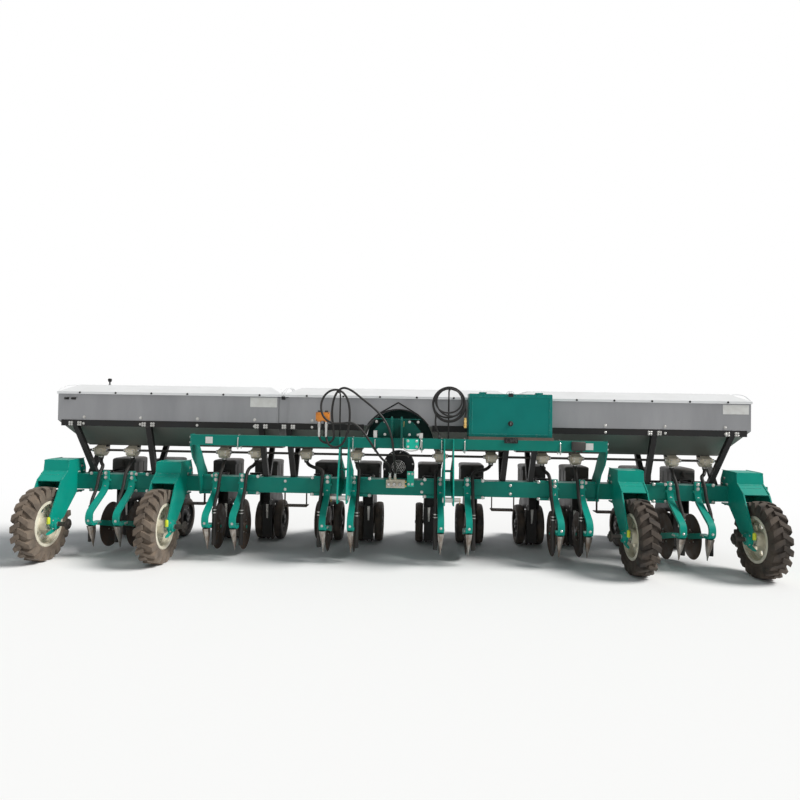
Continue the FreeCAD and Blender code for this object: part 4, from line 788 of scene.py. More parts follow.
FIRST_HOSE = [(-0.650, -0.690, 1.240), (-0.650, -0.690, 1.187), (-0.625, -0.714, 1.124),
              (-0.556, -0.717, 1.098), (-0.486, -0.717, 1.138), (-0.443, -0.717, 1.255),
              (-0.428, -0.717, 1.390), (-0.440, -0.717, 1.520), (-0.487, -0.717, 1.610),
              (-0.575, -0.717, 1.642), (-0.660, -0.722, 1.595), (-0.700, -0.735, 1.500),
              (-0.680, -0.748, 1.390), (-0.600, -0.752, 1.322), (-0.500, -0.752, 1.325),
              (-0.400, -0.748, 1.340), (-0.310, -0.742, 1.265), (-0.225, -0.735, 1.140),
              (-0.155, -0.690, 1.030), (-0.112, -0.600, 0.975), (-0.086, -0.520, 0.945),
              (-0.074, -0.455, 0.925), (-0.070, -0.405, 0.893), (-0.070, -0.375, 0.848),
              (-0.070, -0.375, 0.805)]
SECOND_HOSE = [(-0.715, -0.690, 1.240), (-0.715, -0.690, 1.183), (-0.674, -0.684, 1.142),
               (-0.616, -0.684, 1.142), (-0.576, -0.684, 1.183), (-0.582, -0.685, 1.265),
               (-0.598, -0.685, 1.365), (-0.600, -0.685, 1.475), (-0.575, -0.685, 1.590),
               (-0.510, -0.685, 1.662), (-0.420, -0.690, 1.632), (-0.330, -0.700, 1.560),
               (-0.230, -0.715, 1.485), (-0.130, -0.738, 1.395), (-0.062, -0.752, 1.280),
               (-0.032, -0.752, 1.160), (-0.024, -0.715, 1.060), (-0.020, -0.640, 1.000),
               (-0.020, -0.550, 0.965), (-0.020, -0.470, 0.930), (-0.020, -0.408, 0.893),
               (-0.020, -0.375, 0.848), (-0.020, -0.375, 0.805)]
CABLE_UP = [(0.392, -0.640, 1.207), (0.392, -0.640, 1.236), (0.380, -0.655, 1.262),
            (0.358, -0.680, 1.300), (0.352, -0.690, 1.360)]
CABLE_TAIL = [(0.636, -0.690, 1.452), (0.626, -0.690, 1.416), (0.626, -0.690, 1.393)]
HOOK_PLACE = (0.478, -0.690, 1.660)


def cord_curve(name, points, radius, material):
    """Smooth cord: a NURBS curve with the route's points as its control points."""
    curve = bpy.data.curves.new(name, "CURVE")
    curve.dimensions = "3D"
    spline = curve.splines.new("NURBS")
    spline.points.add(len(points) - 1)
    spline.points.foreach_set("co", np.hstack([points, np.ones((len(points), 1))]).ravel())
    spline.order_u = 3
    spline.use_endpoint_u = True
    spline.resolution_u = 6
    curve.bevel_depth = radius
    curve.bevel_resolution = 5
    curve.use_fill_caps = True
    curve.materials.append(material)
    thing = bpy.data.objects.new(name, curve)
    bpy.context.scene.collection.objects.link(thing)
    return thing


def line_of(points):
    """Points along the smooth line of a route, and its length."""
    bare = cord_curve("line", np.array(points, float), 0.0, FINISHES["dark_rubber"])
    bare.data.use_fill_caps = False
    bpy.context.view_layer.update()
    mesh = bpy.data.meshes.new_from_object(bare)
    line = np.zeros(len(mesh.vertices) * 3)
    mesh.vertices.foreach_get("co", line)
    line = line.reshape(-1, 3)
    curve = bare.data
    bpy.data.objects.remove(bare)
    bpy.data.curves.remove(curve)
    bpy.data.meshes.remove(mesh)
    return line, float(np.linalg.norm(np.diff(line, axis=0), axis=1).sum())


def coil_points(per_turn):
    """Loose turns that hang from the hook, each with its own size, lean and place on the hook.

    The point on a turn is hook + (radius * cos a + swing, place, rise + radius * (sin a - 1));
    the four change slowly from turn to turn as the angle runs on, and the turns pass over the
    hook side by side in two layers."""
    first, last = 3.80, -0.12 - 10 * math.pi
    count = int(round((first - last) / (2 * math.pi) * per_turn)) + 1
    angle = np.linspace(first, last, count)
    run = (first - angle) / (2 * math.pi)
    over = 0.355 + np.arange(6)
    under = 0.855 + np.arange(5)
    keys = np.concatenate([[0.0], under, [5.62]])
    radius = np.interp(run, keys, [.148, .156, .128, .116, .158, .138, .152])
    swing = np.interp(run, keys, [.0, -.004, .016, -.006, .002, -.014, .0])
    keys = np.concatenate([[0.0], over, [5.62]])
    place = np.interp(run, keys, [.0, .018, .0, -.018, -.009, .009, .030, .0])
    rise = np.interp(run, keys, [.0, .0, .0, .0, .0145, .0145, .0, .0])
    x = HOOK_PLACE[0] + radius * np.cos(angle) + swing * (1 - np.sin(angle)) / 2
    z = HOOK_PLACE[2] + rise + radius * (np.sin(angle) - 1)
    return np.stack([x, HOOK_PLACE[1] + place, z], axis=1)


class SEEDER_OT_cords(bpy.types.Operator):
    """Lays the two hydraulic hoses and the coiled signal cable on their hooks"""

    bl_idname = "seeder.cords"
    bl_label = "Hoses and cable"

    def execute(self, context):
        lines = sizes("seeder_lines")
        for name, route in (("first_hose", FIRST_HOSE), ("second_hose", SECOND_HOSE)):
            points = np.array(route)
            hose = cord_curve(name + "_run", points, lines.hose / 2, FINISHES["dark_rubber"])
            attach(hose, "machine_frame")
            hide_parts(name)
            line_of(points)[1]
        coil = coil_points(lines.turn_points)
        points = np.vstack([CABLE_UP, coil, CABLE_TAIL])
        cable = cord_curve("signal_cable", points, lines.cable / 2, FINISHES["dark_rubber"])
        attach(cable, "machine_frame")
        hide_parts("cable_coil", "cable_run")
        line_of(points)[1]
        return {"FINISHED"}


# Ground wheels

FORK_FACE = 0.122
TYRE_HALF, TYRE_RADIUS = 0.085, 0.3425


def wheel_place(number):
    """Middle of a ground wheel and half its size, from its CAD tyre."""
    low, high = ends("tyre_%d" % number)
    return (low + high) / 2, (high - low) / 2


def carcass(centre, radius, half):
    """Tyre without its lugs: beads, bulging walls and a crowned tread turned about the axle."""
    side = np.array([(0.061, 0.1912), (0.0625, 0.2095), (0.0700, 0.2175), (0.0765, 0.232),
                     (0.0800, 0.252), (0.0795, 0.272), (0.0750, 0.289), (0.0660, 0.303),
                     (0.0480, 0.3140), (0.0250, 0.3195), (0.0, 0.3212)])
    side[:, 0] *= half / TYRE_HALF
    side[:, 1] *= radius / TYRE_RADIUS
    return turned(mirrored(side, 1), 88, centre, closed=True)


def wall_rings(centre, radius, half):
    """Raised rings on both walls of the tyre."""
    shapes = []
    for way in (-1, 1):
        for along, reach in ((0.0745, 0.226), (0.0805, 0.262)):
            middle = centre + (way * along * half / TYRE_HALF, 0, 0)
            shapes.append(hoop(middle, reach * radius / TYRE_RADIUS, 0.0022, 64))
    return shapes


def lugs(centre, radius, half, tread):
    """Leaning lugs on both halves of the tread, staggered by half a pitch.

    A lug runs from just past the middle out over the shoulder; at each step its foot follows
    the carcass, its crown the tyre's outer circle, and its angle grows by the lean. Its section
    is measured round the tyre, so an offset s turns into the angle s / radius."""
    t = np.linspace(0, 1, 8)
    reach = np.interp(t, [0, 0.82, 1], [-0.006, 0.079, 0.0835]) * half / TYRE_HALF
    crown = radius - 0.0105 * t ** 2 - 0.028 * np.clip((t - 0.86) / 0.14, 0, 1)
    foot = crown - tread.lug_height - 0.012 - 0.02 * t ** 2
    wide = tread.lug_width * (0.86 + 0.24 * t)
    offset = np.array([-0.5, -0.46, -0.42, 0.34, 0.41, 0.5])
    rise = np.array([0.0, 0.90, 1.0, 0.96, 0.84, 0.0])
    level = foot[:, None] + (crown - foot)[:, None] * rise
    turn = tread.lean * t[:, None] ** 1.15 + offset * wide[:, None] / level
    pitch = 2 * np.pi / tread.lugs
    shapes = []
    for way, start in ((1, 0.0), (-1, 0.5)):
        angle = (np.arange(tread.lugs) + start) * pitch
        full = angle[:, None, None] - turn
        points = np.stack([np.broadcast_to(way * reach[:, None], turn.shape)[None]
                           + 0 * full, level * np.sin(full), level * np.cos(full)], axis=-1)
        first = np.broadcast_to(points[:, :1].mean(2, keepdims=True), points[:, :1].shape)
        last = np.broadcast_to(points[:, -1:].mean(2, keepdims=True), points[:, -1:].shape)
        shapes.append(surface(centre + np.concatenate([first, points, last], axis=1),
                              round_v=True))
    return shapes


class SEEDER_OT_tyres(bpy.types.Operator):
    """Builds the lugged tyres of the ground wheels"""

    bl_idname = "seeder.tyres"
    bl_label = "Ground wheel tyres"

    def execute(self, context):
        tread = sizes("seeder_tread")
        for number in range(1, 5):
            centre, (half, _, radius) = wheel_place(number)
            shapes = [carcass(centre, radius, half), *wall_rings(centre, radius, half),
                      *lugs(centre, radius, half, tread)]
            # Painted shade: tyres 3 and 4 take the darker copy of the rubber, tyres 1 and 2 the
            # dusty one.
            rubber = "tyre_rubber" if number < 3 else "shaded_tyre"
            tyre = piece("lugged_tyre_%d" % number, shapes, "tyre_rubber", rubber,
                         body="ground_wheel_%d" % number, crease=40)
            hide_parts("tyre_%d" % number)
        return {"FINISHED"}


class SEEDER_OT_rims(bpy.types.Operator):
    """Adds rolled edges, hand hole rims, wheel bolts and valve to the rims"""

    bl_idname = "seeder.rims"
    bl_label = "Rim details"

    def execute(self, context):
        for number in range(1, 5):
            centre = wheel_place(number)[0]
            toward = -1 if centre[0] > 0 else 1
            wheel = "ground_wheel_%d" % number
            trim, metal = [], []
            for way in (-1, 1):
                for along, reach, thick in ((0.0655, 0.2065, 0.0042), (0.052, 0.1815, 0.0035)):
                    trim.append(hoop(centre + (way * along, 0, 0), reach, thick, 64, steps=6))
                for hole in ring(centre + (way * 0.0065, 0, 0), 0.1233, 8):
                    trim.append(hoop(hole, 0.0315, 0.0028, 14))
                swage = np.array([(0.004, 0.172), (0.012, 0.166), (0.013, 0.158), (0.004, 0.150)])
                swage = np.vstack([swage, swage[::-1] * (0, 1)])
                hub = [(0.066, 0.060), (0.074, 0.056), (0.074, 0.034), (0.084, 0.031),
                       (0.086, 0.022)]
                trim += [turned(swage, 56, centre, closed=True, way=way),
                         turned(hub, 24, centre, way=way)]
                metal.append(bolts(0, way, 0.0085, ring(centre + (way * 0.0735, 0, 0), 0.046, 6)))
            piece("rim_trim_%d" % number, trim, "cream_rim", body=wheel)
            stub = [(0.151, 0.0207), (0.2395, 0.0207), (0.2395, 0.0467), (0.2545, 0.0467),
                    (0.2545, 0.030), (0.2605, 0.0207), (0.2705, 0.0207), (0.2705, 0.017)]
            drive = [turned(stub, 28, centre, way=toward), self.sprocket(centre, toward)]
            piece("wheel_drive_%d" % number, drive, "bare_steel", "shaft_steel", body=wheel)
            valve = centre + np.array([(0.010, 0, 0.178), (0.040, 0, 0.176),
                                       (0.062, 0, 0.168)]) * (toward, 1, 1)
            metal += [turned([(0, 0.0226), (0.008, 0.0226)], 20, centre + (toward * 0.1515, 0, 0),
                             way=toward),
                      bolts(0, -toward, 0.013, centre - (toward * 0.158, 0, 0)),
                      rod(smooth_path(valve, 8), 0.0035, 6, (0, 1, 0))]
            piece("wheel_fixings_%d" % number, metal, "bare_steel", body=wheel)
        return {"FINISHED"}

    def sprocket(self, centre, toward):
        """Toothed ring: radius = pitch + depth * squared-off wave of the angle."""
        reach = 0.0455 + 0.006 * np.tanh(2.2 * np.cos(16 * np.arange(96) * 2 * np.pi / 96))
        face = centre[0] + toward * FORK_FACE
        outline = ring(centre, reach[:, None], 96)[:, 1:]
        return plate(outline, face + toward * 0.120, face + toward * 0.130, 0.001, axis=0)


class SEEDER_OT_forks(bpy.types.Operator):
    """Adds grease caps, bearing flanges, cover edges and bolts to the wheel forks"""

    bl_idname = "seeder.forks"
    bl_label = "Fork details"

    def execute(self, context):
        painted, caps, bright = [], [], []
        for number in range(1, 5):
            centre = wheel_place(number)[0]
            toward = -1 if centre[0] > 0 else 1
            for way in (-1, 1):
                face = centre[0] + way * FORK_FACE
                hub = (face, *centre[1:])
                flange = [(0, 0.060), (0.008, 0.060), (0.010, 0.052), (0.020, 0.0515),
                          (0.0285, 0.046), (0.0285, 0.0208), (0, 0.0208)]
                painted.append(turned(flange, 28, hub, closed=True, way=way))
                bright += [bolts(0, way, 0.0075,
                                 ring((face + way * 0.008, *centre[1:]), 0.0555, 4,
                                      start=np.pi / 4)),
                           bolts(0, way, 0.011,
                                 [(face, -0.305, 0.79), (face, -0.205, 0.79), (face, -0.305, 0.66),
                                  (face, -0.205, 0.66), (face, -0.255, 0.845)])]
                edge = centre[0] + way * 0.1155
                top = [(edge, -0.200, 0.9215), (edge, -0.468, 0.9215), (edge, -0.484, 0.9115)]
                fold = [(edge, -0.487, 0.822), (edge, -0.592, 0.738)]
                painted += [strip(smooth_path(top, 12), 0.012, 0.004), strip(fold, 0.012, 0.004)]
            inner = centre[0] + toward * FORK_FACE
            cap = [(0, 0.0135), (0.004, 0.0155), (0.050, 0.0155), (0.060, 0.013),
                   (0.064, 0.006)]
            stem = inner - toward * 0.006
            caps.append(turned(cap, 16, (stem, -0.7735, 0.356), axis=2))
            bracket = rounded(stem - 0.010, stem + 0.010, -0.786, -0.742, 0.004)
            painted.append(plate(bracket, 0.350, 0.3565, 0.001))
            arm = smooth_path([(0, -0.650, 0.318), (0, -0.676, 0.280), (0, -0.748, 0.262),
                               (0, -0.812, 0.259), (0, -0.828, 0.272), (0, -0.800, 0.286),
                               (0, -0.748, 0.296), (0, -0.716, 0.324), (0, -0.690, 0.346),
                               (0, -0.650, 0.318)], 36, 2)[:-1, 1:]
            painted.append(plate(arm, inner + toward * 0.0005, inner + toward * 0.009, 0.0015,
                                 axis=0))
            for slat in (0.0, 0.030):
                y, z = -0.4995 - slat, 0.8055 - slat * 0.81
                painted.append(rod([(centre[0] - 0.110, y, z), (centre[0] + 0.110, y, z)], 0.0035))
            tab = rounded(-0.335, -0.175, 0.586, 0.600, 0.004)
            for way in (-1, 1):
                middle = centre[0] + way * 0.080
                painted.append(copies(plate(tab, -0.03, 0.03, 0.002, axis=0), (middle, 0, 0)))
                bright.append(bolts(2, -1, 0.012,
                                    [(middle, -0.318, 0.586), (middle, -0.192, 0.586)]))
        piece("fork_trim", painted, "teal_paint")
        piece("fork_bolts", bright, "bare_steel")
        piece("grease_caps", caps, "bright_paint", "yellow_cap")
        return {"FINISHED"}


# Hopper and lids

class SEEDER_OT_hopper(bpy.types.Operator):
    """Adds bolts, folded edges, arch trim and blank plates to the hopper"""

    bl_idname = "seeder.hopper"
    bl_label = "Hopper details"

    def execute(self, context):
        fix = sizes("seeder_fixings")
        front, rear = HOPPER_LOW[1], HOPPER_HIGH[1]
        bright = []
        half = 3.105
        across = np.arange(-half, half + 0.1, fix.bolt_pitch)
        across = across[(np.abs(across) > 0.40) & (np.abs(np.abs(across) - 1.125) > 0.07)]
        for y, way in ((front, -1), (rear, 1)):
            bright.append(bolts(1, way, fix.bolt, [(x, y, KNEE_Z + 0.032) for x in across]))
        rail = ends("hopper_rails")[0][1]
        for leg in LEG_PLACES:
            for shift in (-0.055, -0.033, 0.033, 0.055):
                bright.append(bolts(1, -1, 0.009,
                                    [(leg + shift, rail, 1.284), (leg + shift, rail, 1.263)]))
        bright.append(bolts(1, -1, 0.010, [(x, rail, 1.274) for x in across]))
        piece("hopper_bolts", bright, "bare_steel")

        trim = []
        t = np.linspace(0.0, math.pi, 61)
        x, z = 0.3655 * np.cos(t), 1.095 + 0.3655 * np.sin(t)
        use = z > KNEE_Z - 0.002
        gable = [(-0.262, 1.352), (-0.192, 1.4135), (-0.006, 1.5235), (0.0, 1.526),
                 (0.006, 1.5235), (0.192, 1.4135), (0.262, 1.352)]
        dark = []
        for y in (front - 0.003, rear + 0.003):
            path = np.stack([x[use], np.full(use.sum(), y), z[use]], axis=1)
            dark.append(strip(path, 0.006, 0.011, 0.2, (0, 1, 0)))
        dark.append(strip([(x, front - 0.004, z) for x, z in gable], 0.008, 0.014, 0.2, (0, 1, 0)))
        piece("arch_trim", dark, "black_paint")
        for edge in (-1.0, 1.0):
            for y in (front - 0.002, rear + 0.002):
                for x_edge in (1.072, 1.178):
                    seam = [(edge * x_edge, y, KNEE_Z + 0.004), (edge * x_edge, y, 1.556)]
                    trim.append(strip(seam, 0.010, 0.003, 0.25))
        for start, stop in ((-3.350, -1.19), (-1.06, -0.35), (0.35, 1.06), (1.19, 3.350)):
            for y in (front - 0.0012, rear + 0.0012):
                fold = [(start, y, KNEE_Z + 0.006), (stop, y, KNEE_Z + 0.006)]
                trim.append(strip(fold, 0.0024, 0.010, 0.2, (0, 1, 0)))
        for end_x in (-3.3715, 3.3715):
            for y in np.linspace(front + 0.10, rear - 0.10, 3):
                trim.append(strip([(end_x, y, 1.33), (end_x, y, 1.545)], 0.030, 0.005, 0.35,
                                  (0, 1, 0)))
        piece("hopper_trim", trim, "grey_steel")

        plates = [plate(rounded(-0.0018, 0.0, a[1], b[1], 0.0005, 2)
                        + (front, 0.0), a[0], b[0], 0.0003, axis=0)
                  for a, b in (((-1.452, 1.462), (-1.188, 1.556)),
                               ((3.105, 1.465), (3.348, 1.556)))]
        square = rounded(-0.0018, 0.0, 1.117, 1.178, 0.0005, 2) + (UPPER_LOW[1], 0.0)
        plates += [plate(square, -1.785, -1.718, 0.0003, axis=0),
                   plate(square, 1.731, 1.799, 0.0003, axis=0)]
        piece("blank_plates", plates, "white_lid", "blank_plate")

        dark = []
        for x in (-3.285, -3.215):
            latch = rounded(x - 0.022, x + 0.022, 1.508, 1.532, 0.006)
            swapped = latch[:, ::-1]
            dark += [plate(swapped, front - 0.010, front, 0.003, axis=1),
                     rod([(x - 0.02, front - 0.012, 1.52), (x + 0.03, front - 0.014, 1.530)],
                         0.004)]
        for x in (-1.125, 1.125):
            hasp = rounded(1.538, 1.572, x - 0.018, x + 0.018, 0.005)
            dark.append(plate(hasp, front - 0.014, front - 0.002, 0.003, axis=1))
        piece("hopper_latches", dark, "black_paint")
        return {"FINISHED"}


class SEEDER_OT_lids(bpy.types.Operator):
    """Adds pressed ribs, edge rivets, grips and the filler knob to the lids"""

    bl_idname = "seeder.lids"
    bl_label = "Lid details"

    def execute(self, context):
        fix = sizes("seeder_fixings")
        crown = np.array([(-0.3745, 1.5815), (-0.224, 1.6605), (0.094, 1.6605),
                          (0.2445, 1.5815)])
        for side in ("left", "centre", "right"):
            low, high = ends("lid_" + side)
            count = int((high[0] - low[0]) / 0.30)
            ribs = []
            for x in np.linspace(low[0], high[0], count + 2)[1:-1]:
                line = np.stack([np.full(4, x), crown[:, 0] * 0.985, crown[:, 1] + 0.0005],
                                axis=1)
                ribs.append(strip(smooth_path(line, 26, 3), 0.055, 0.007, 0.45))
            for y in (low[1] + 0.0008, high[1] - 0.0008):
                hem = [(low[0] + 0.004, y, low[2] + 0.003), (high[0] - 0.004, y, low[2] + 0.003)]
                ribs.append(rod(hem, 0.0030))
            for x in (low[0] + 0.006, high[0] - 0.006):
                line = np.stack([np.full(4, x), crown[:, 0], crown[:, 1] + 0.001], axis=1)
                ribs.append(strip(smooth_path(line, 26, 3), 0.012, 0.005, 0.4))
            piece("lid_ribs_" + side, ribs, "white_lid", "lid_white", body="hopper_lid_" + side)
            span = high[0] - low[0]
            number = int(span / fix.rivet_pitch)
            across = low[0] + span / 2 + (np.arange(number) - (number - 1) / 2) * fix.rivet_pitch
            dark = [rivets(1, -1, 0.011, [(x, low[1], 1.579) for x in across])]
            if side == "left":
                knob = [(0, 0.016), (0.006, 0.016), (0.008, 0.007), (0.034, 0.007),
                        (0.040, 0.017), (0.060, 0.020), (0.070, 0.013)]
                dark.append(turned(knob, 18, (-2.963, -0.160, 1.6605), axis=2))
            piece("lid_fittings_" + side, dark, "black_paint", body="hopper_lid_" + side)
        return {"FINISHED"}


# Toolbox

def frame_line(left, right, bottom, top, y):
    """Points round an upright rectangle: corner + share * (next corner - corner), by twelfths."""
    corners = np.array([(left, y, bottom), (right, y, bottom), (right, y, top), (left, y, top)])
    sides = zip(corners, np.roll(corners, -1, axis=0))
    return np.concatenate([np.linspace(start, end, 12, endpoint=False) for start, end in sides])


class SEEDER_OT_toolbox(bpy.types.Operator):
    """Adds the door's pressed frame, lock, latch and rivets, and the tray's vent"""

    bl_idname = "seeder.toolbox"
    bl_label = "Toolbox details"

    def execute(self, context):
        low, high = ends("toolbox_door")
        face = -0.617
        left, right, bottom, top = low[0], high[0], 1.222, 1.614
        inner = frame_line(left + 0.022, right - 0.022, bottom + 0.022, top - 0.022, face)
        outer = frame_line(left, right, bottom, top, face + 0.004)
        pressed = [strip(inner, 0.005, 0.012, 0.45, (0, 1, 0), loop=True),
                   rod(outer, 0.0035, 6, (0, 1, 0), loop=True)]
        across = np.linspace(left + 0.045, right - 0.045, 8)
        pressed.append(rivets(1, -1, 0.0052,
                              [(x, face, z) for x in across
                               for z in (bottom + 0.0105, top - 0.0105)]))
        piece("door_pressing", pressed, "teal_paint", "box_paint", body="door")
        middle = (left + right) / 2
        lock = [(0, 0.024), (-0.004, 0.024), (-0.006, 0.020), (-0.014, 0.019), (-0.016, 0.015)]
        slot_line = [(middle, face - 0.0165, 1.335), (middle, face - 0.0165, 1.355)]
        metal = [strip(slot_line, 0.0035, 0.004, 0.2)]
        piece("door_lock", metal, "bare_steel", body="door")
        dark = [turned(lock, 24, (middle, face, 1.345), axis=1)]
        hasp = rounded(1.5935, 1.626, middle - 0.022, middle + 0.022, 0.006)
        dark.append(plate(hasp, face - 0.0075, face - 0.0005, 0.002, axis=1))
        piece("door_hasp", dark, "black_paint", body="door")
        tray_front = ends("toolbox_tray")[0][1]
        front = UPPER_LOW[1] - 0.016
        hood = rounded(1.166, 1.216, middle - 0.062, middle + 0.062, 0.006)
        tray = [plate(hood, front, UPPER_LOW[1] - 0.001, 0.002, axis=1)]
        strap = rounded(1.1975, 1.2155, middle - 0.056, middle + 0.056, 0.004)
        tray.append(plate(strap, UPPER_LOW[1] - 0.001, tray_front - 0.0005, 0.0005, axis=1))
        for z in (1.178, 1.187, 1.196, 1.205):
            line = [(middle - 0.048, front - 0.0008, z), (middle + 0.048, front - 0.0008, z)]
            tray.append(rod(line, 0.0020, 5))
        # Dark box with two glands on the upper bar's front, right of the middle, filling a dark
        # patch on the bar there.
        shell = rounded(UPPER_LOW[1] - 0.038, UPPER_LOW[1] - 0.001, 1.112, 1.192, 0.006)
        boxes = [plate(shell, 1.600, 1.718, 0.004, axis=0)]
        rim = rounded(1.109, 1.195, 1.597, 1.721, 0.008)
        boxes.append(plate(rim, UPPER_LOW[1] - 0.030, UPPER_LOW[1] - 0.026, 0.001, axis=1))
        gland = [(0, 0.008), (-0.010, 0.008), (-0.011, 0.011), (-0.024, 0.010), (-0.026, 0.006)]
        for x in (1.630, 1.688):
            boxes.append(turned(gland, 12, (x, UPPER_LOW[1] - 0.018, 1.113), axis=2))
        piece("dark_bar_box", boxes, "dark_plastic")
        piece("tray_vent", tray, "black_paint")
        box_low, box_high = ends("toolbox")
        seams = []
        for x in (box_low[0] - 0.0005, box_high[0] + 0.0005):
            for z in (1.235, 1.605):
                line = [(x, -0.590, z), (x, -0.392, z)]
                seams.append(strip(line, 0.003, 0.014))
        piece("toolbox_folds", seams, "teal_paint", "box_paint")
        heads = bolts(2, 1, 0.009, [(x, y, 1.2205) for x in (0.70, 1.40) for y in (-0.57, -0.42)])
        piece("tray_bolts", [heads], "bare_steel")
        return {"FINISHED"}


# Bars, hitch and hydraulics

class SEEDER_OT_bars(bpy.types.Operator):
    """Adds the U-bolts, clamp plates and bolts of the two bars, the hitch and the mast"""

    bl_idname = "seeder.bars"
    bl_label = "Bar fixings"

    def execute(self, context):
        thick = sizes("seeder_fixings").strap
        thin = thick * 0.8
        under = UPPER_LOW[2] - 0.0075
        front, rear, top = UPPER_LOW[1] - thin, UPPER_HIGH[1] + thin, UPPER_HIGH[2] + thin
        bright, painted = [], []
        for x in (-1.479, -0.405, -0.201, 0.232, 0.417, 0.628, 1.50):
            bend = [(x, front, UPPER_LOW[2] - 0.034), (x, front, top), (x, rear, top),
                    (x, rear, UPPER_LOW[2] - 0.034)]
            bright.append(rod(smooth_path(bend, 40, 3), thin, 8, (1, 0, 0)))
            foot = rounded(UPPER_LOW[1] - 0.018, UPPER_HIGH[1] + 0.018, 0.0, 0.006, 0.002, 2)
            painted.append(plate(foot + (0.0, under), x - 0.021, x + 0.021, 0.001, axis=0))
            bright.append(bolts(2, -1, 0.0105, [(x, front, under), (x, rear, under)]))
        levels = (BAR_HIGH[2] + thick, BAR_LOW[2] - thick)
        for x in np.concatenate([ROWS - 0.056, ROWS + 0.056]):
            for z in levels:
                line = [(x, BAR_HIGH[1] + 0.034, z), (x, BAR_LOW[1] - 0.026, z)]
                bright += [rod(line, thick, 8),
                           bolts(1, 1, 0.0125, [(x, BAR_HIGH[1] + 0.0205, z)])]
        for x in ROWS:
            for z in levels:
                pad = rounded(BAR_LOW[1] - 0.012, BAR_LOW[1] - 0.0005, z - 0.014, z + 0.014, 0.003,
                              3)
                painted.append(plate(pad, x - 0.075, x + 0.075, 0.0015, axis=0))
                bright.append(bolts(1, -1, 0.0125,
                                    [(x + shift, BAR_LOW[1] - 0.0115, z)
                                     for shift in (-0.056, 0.056)]))
        for side in (-1, 1):
            cap = rounded(-0.322, -0.188, 0.633, 0.767, 0.012)
            painted.append(plate(cap, side * 3.5505, side * 3.5545, 0.001, axis=0))
            bright.append(bolts(0, side, 0.010,
                                [(side * 1.9305, y, z) for y in (-0.635, -0.575)
                                 for z in (1.122, 1.172)]))
            for cheek, out in ((0.4475, -1), (0.5295, 1)):
                bright.append(bolts(0, out * side, 0.011,
                                    [(side * cheek, -0.365, 0.735),
                                     (side * cheek, -0.365, 0.665)]))
        bright += [bolts(1, -1, 0.010,
                         [(x, -0.5695, z) for x in (-0.195, -0.115, 0.115, 0.195)
                          for z in (1.225, 1.345)]),
                   bolts(1, -1, 0.011,
                         [(x, BAR_LOW[1], z) for x in (-1.10, 0.24, 1.10) for z in (0.66, 0.74)])]
        lip = [(-0.218, -0.5635, 1.3705), (0.218, -0.5635, 1.3705)]
        painted.append(strip(lip, 0.016, 0.005, 0.3, (0, 1, 0)))
        piece("bar_straps", bright, "bare_steel")
        # The clamp plates take the bars' copy of the teal with its painted shade.
        piece("bar_clamps", painted, "teal_paint", "shaded_bar_paint")

        pins = [hoop((x, -0.755, 0.640), (0, 0.024, 0.030), 0.0022, 20, steps=6)
                for x in (-0.5815, 0.5815)]
        pins.append(hoop((0.066, -0.6945, 1.327), (0, 0.020, 0.026), 0.0022, 20, steps=6))
        piece("linch_pins", pins, "bare_steel", "brass")
        return {"FINISHED"}


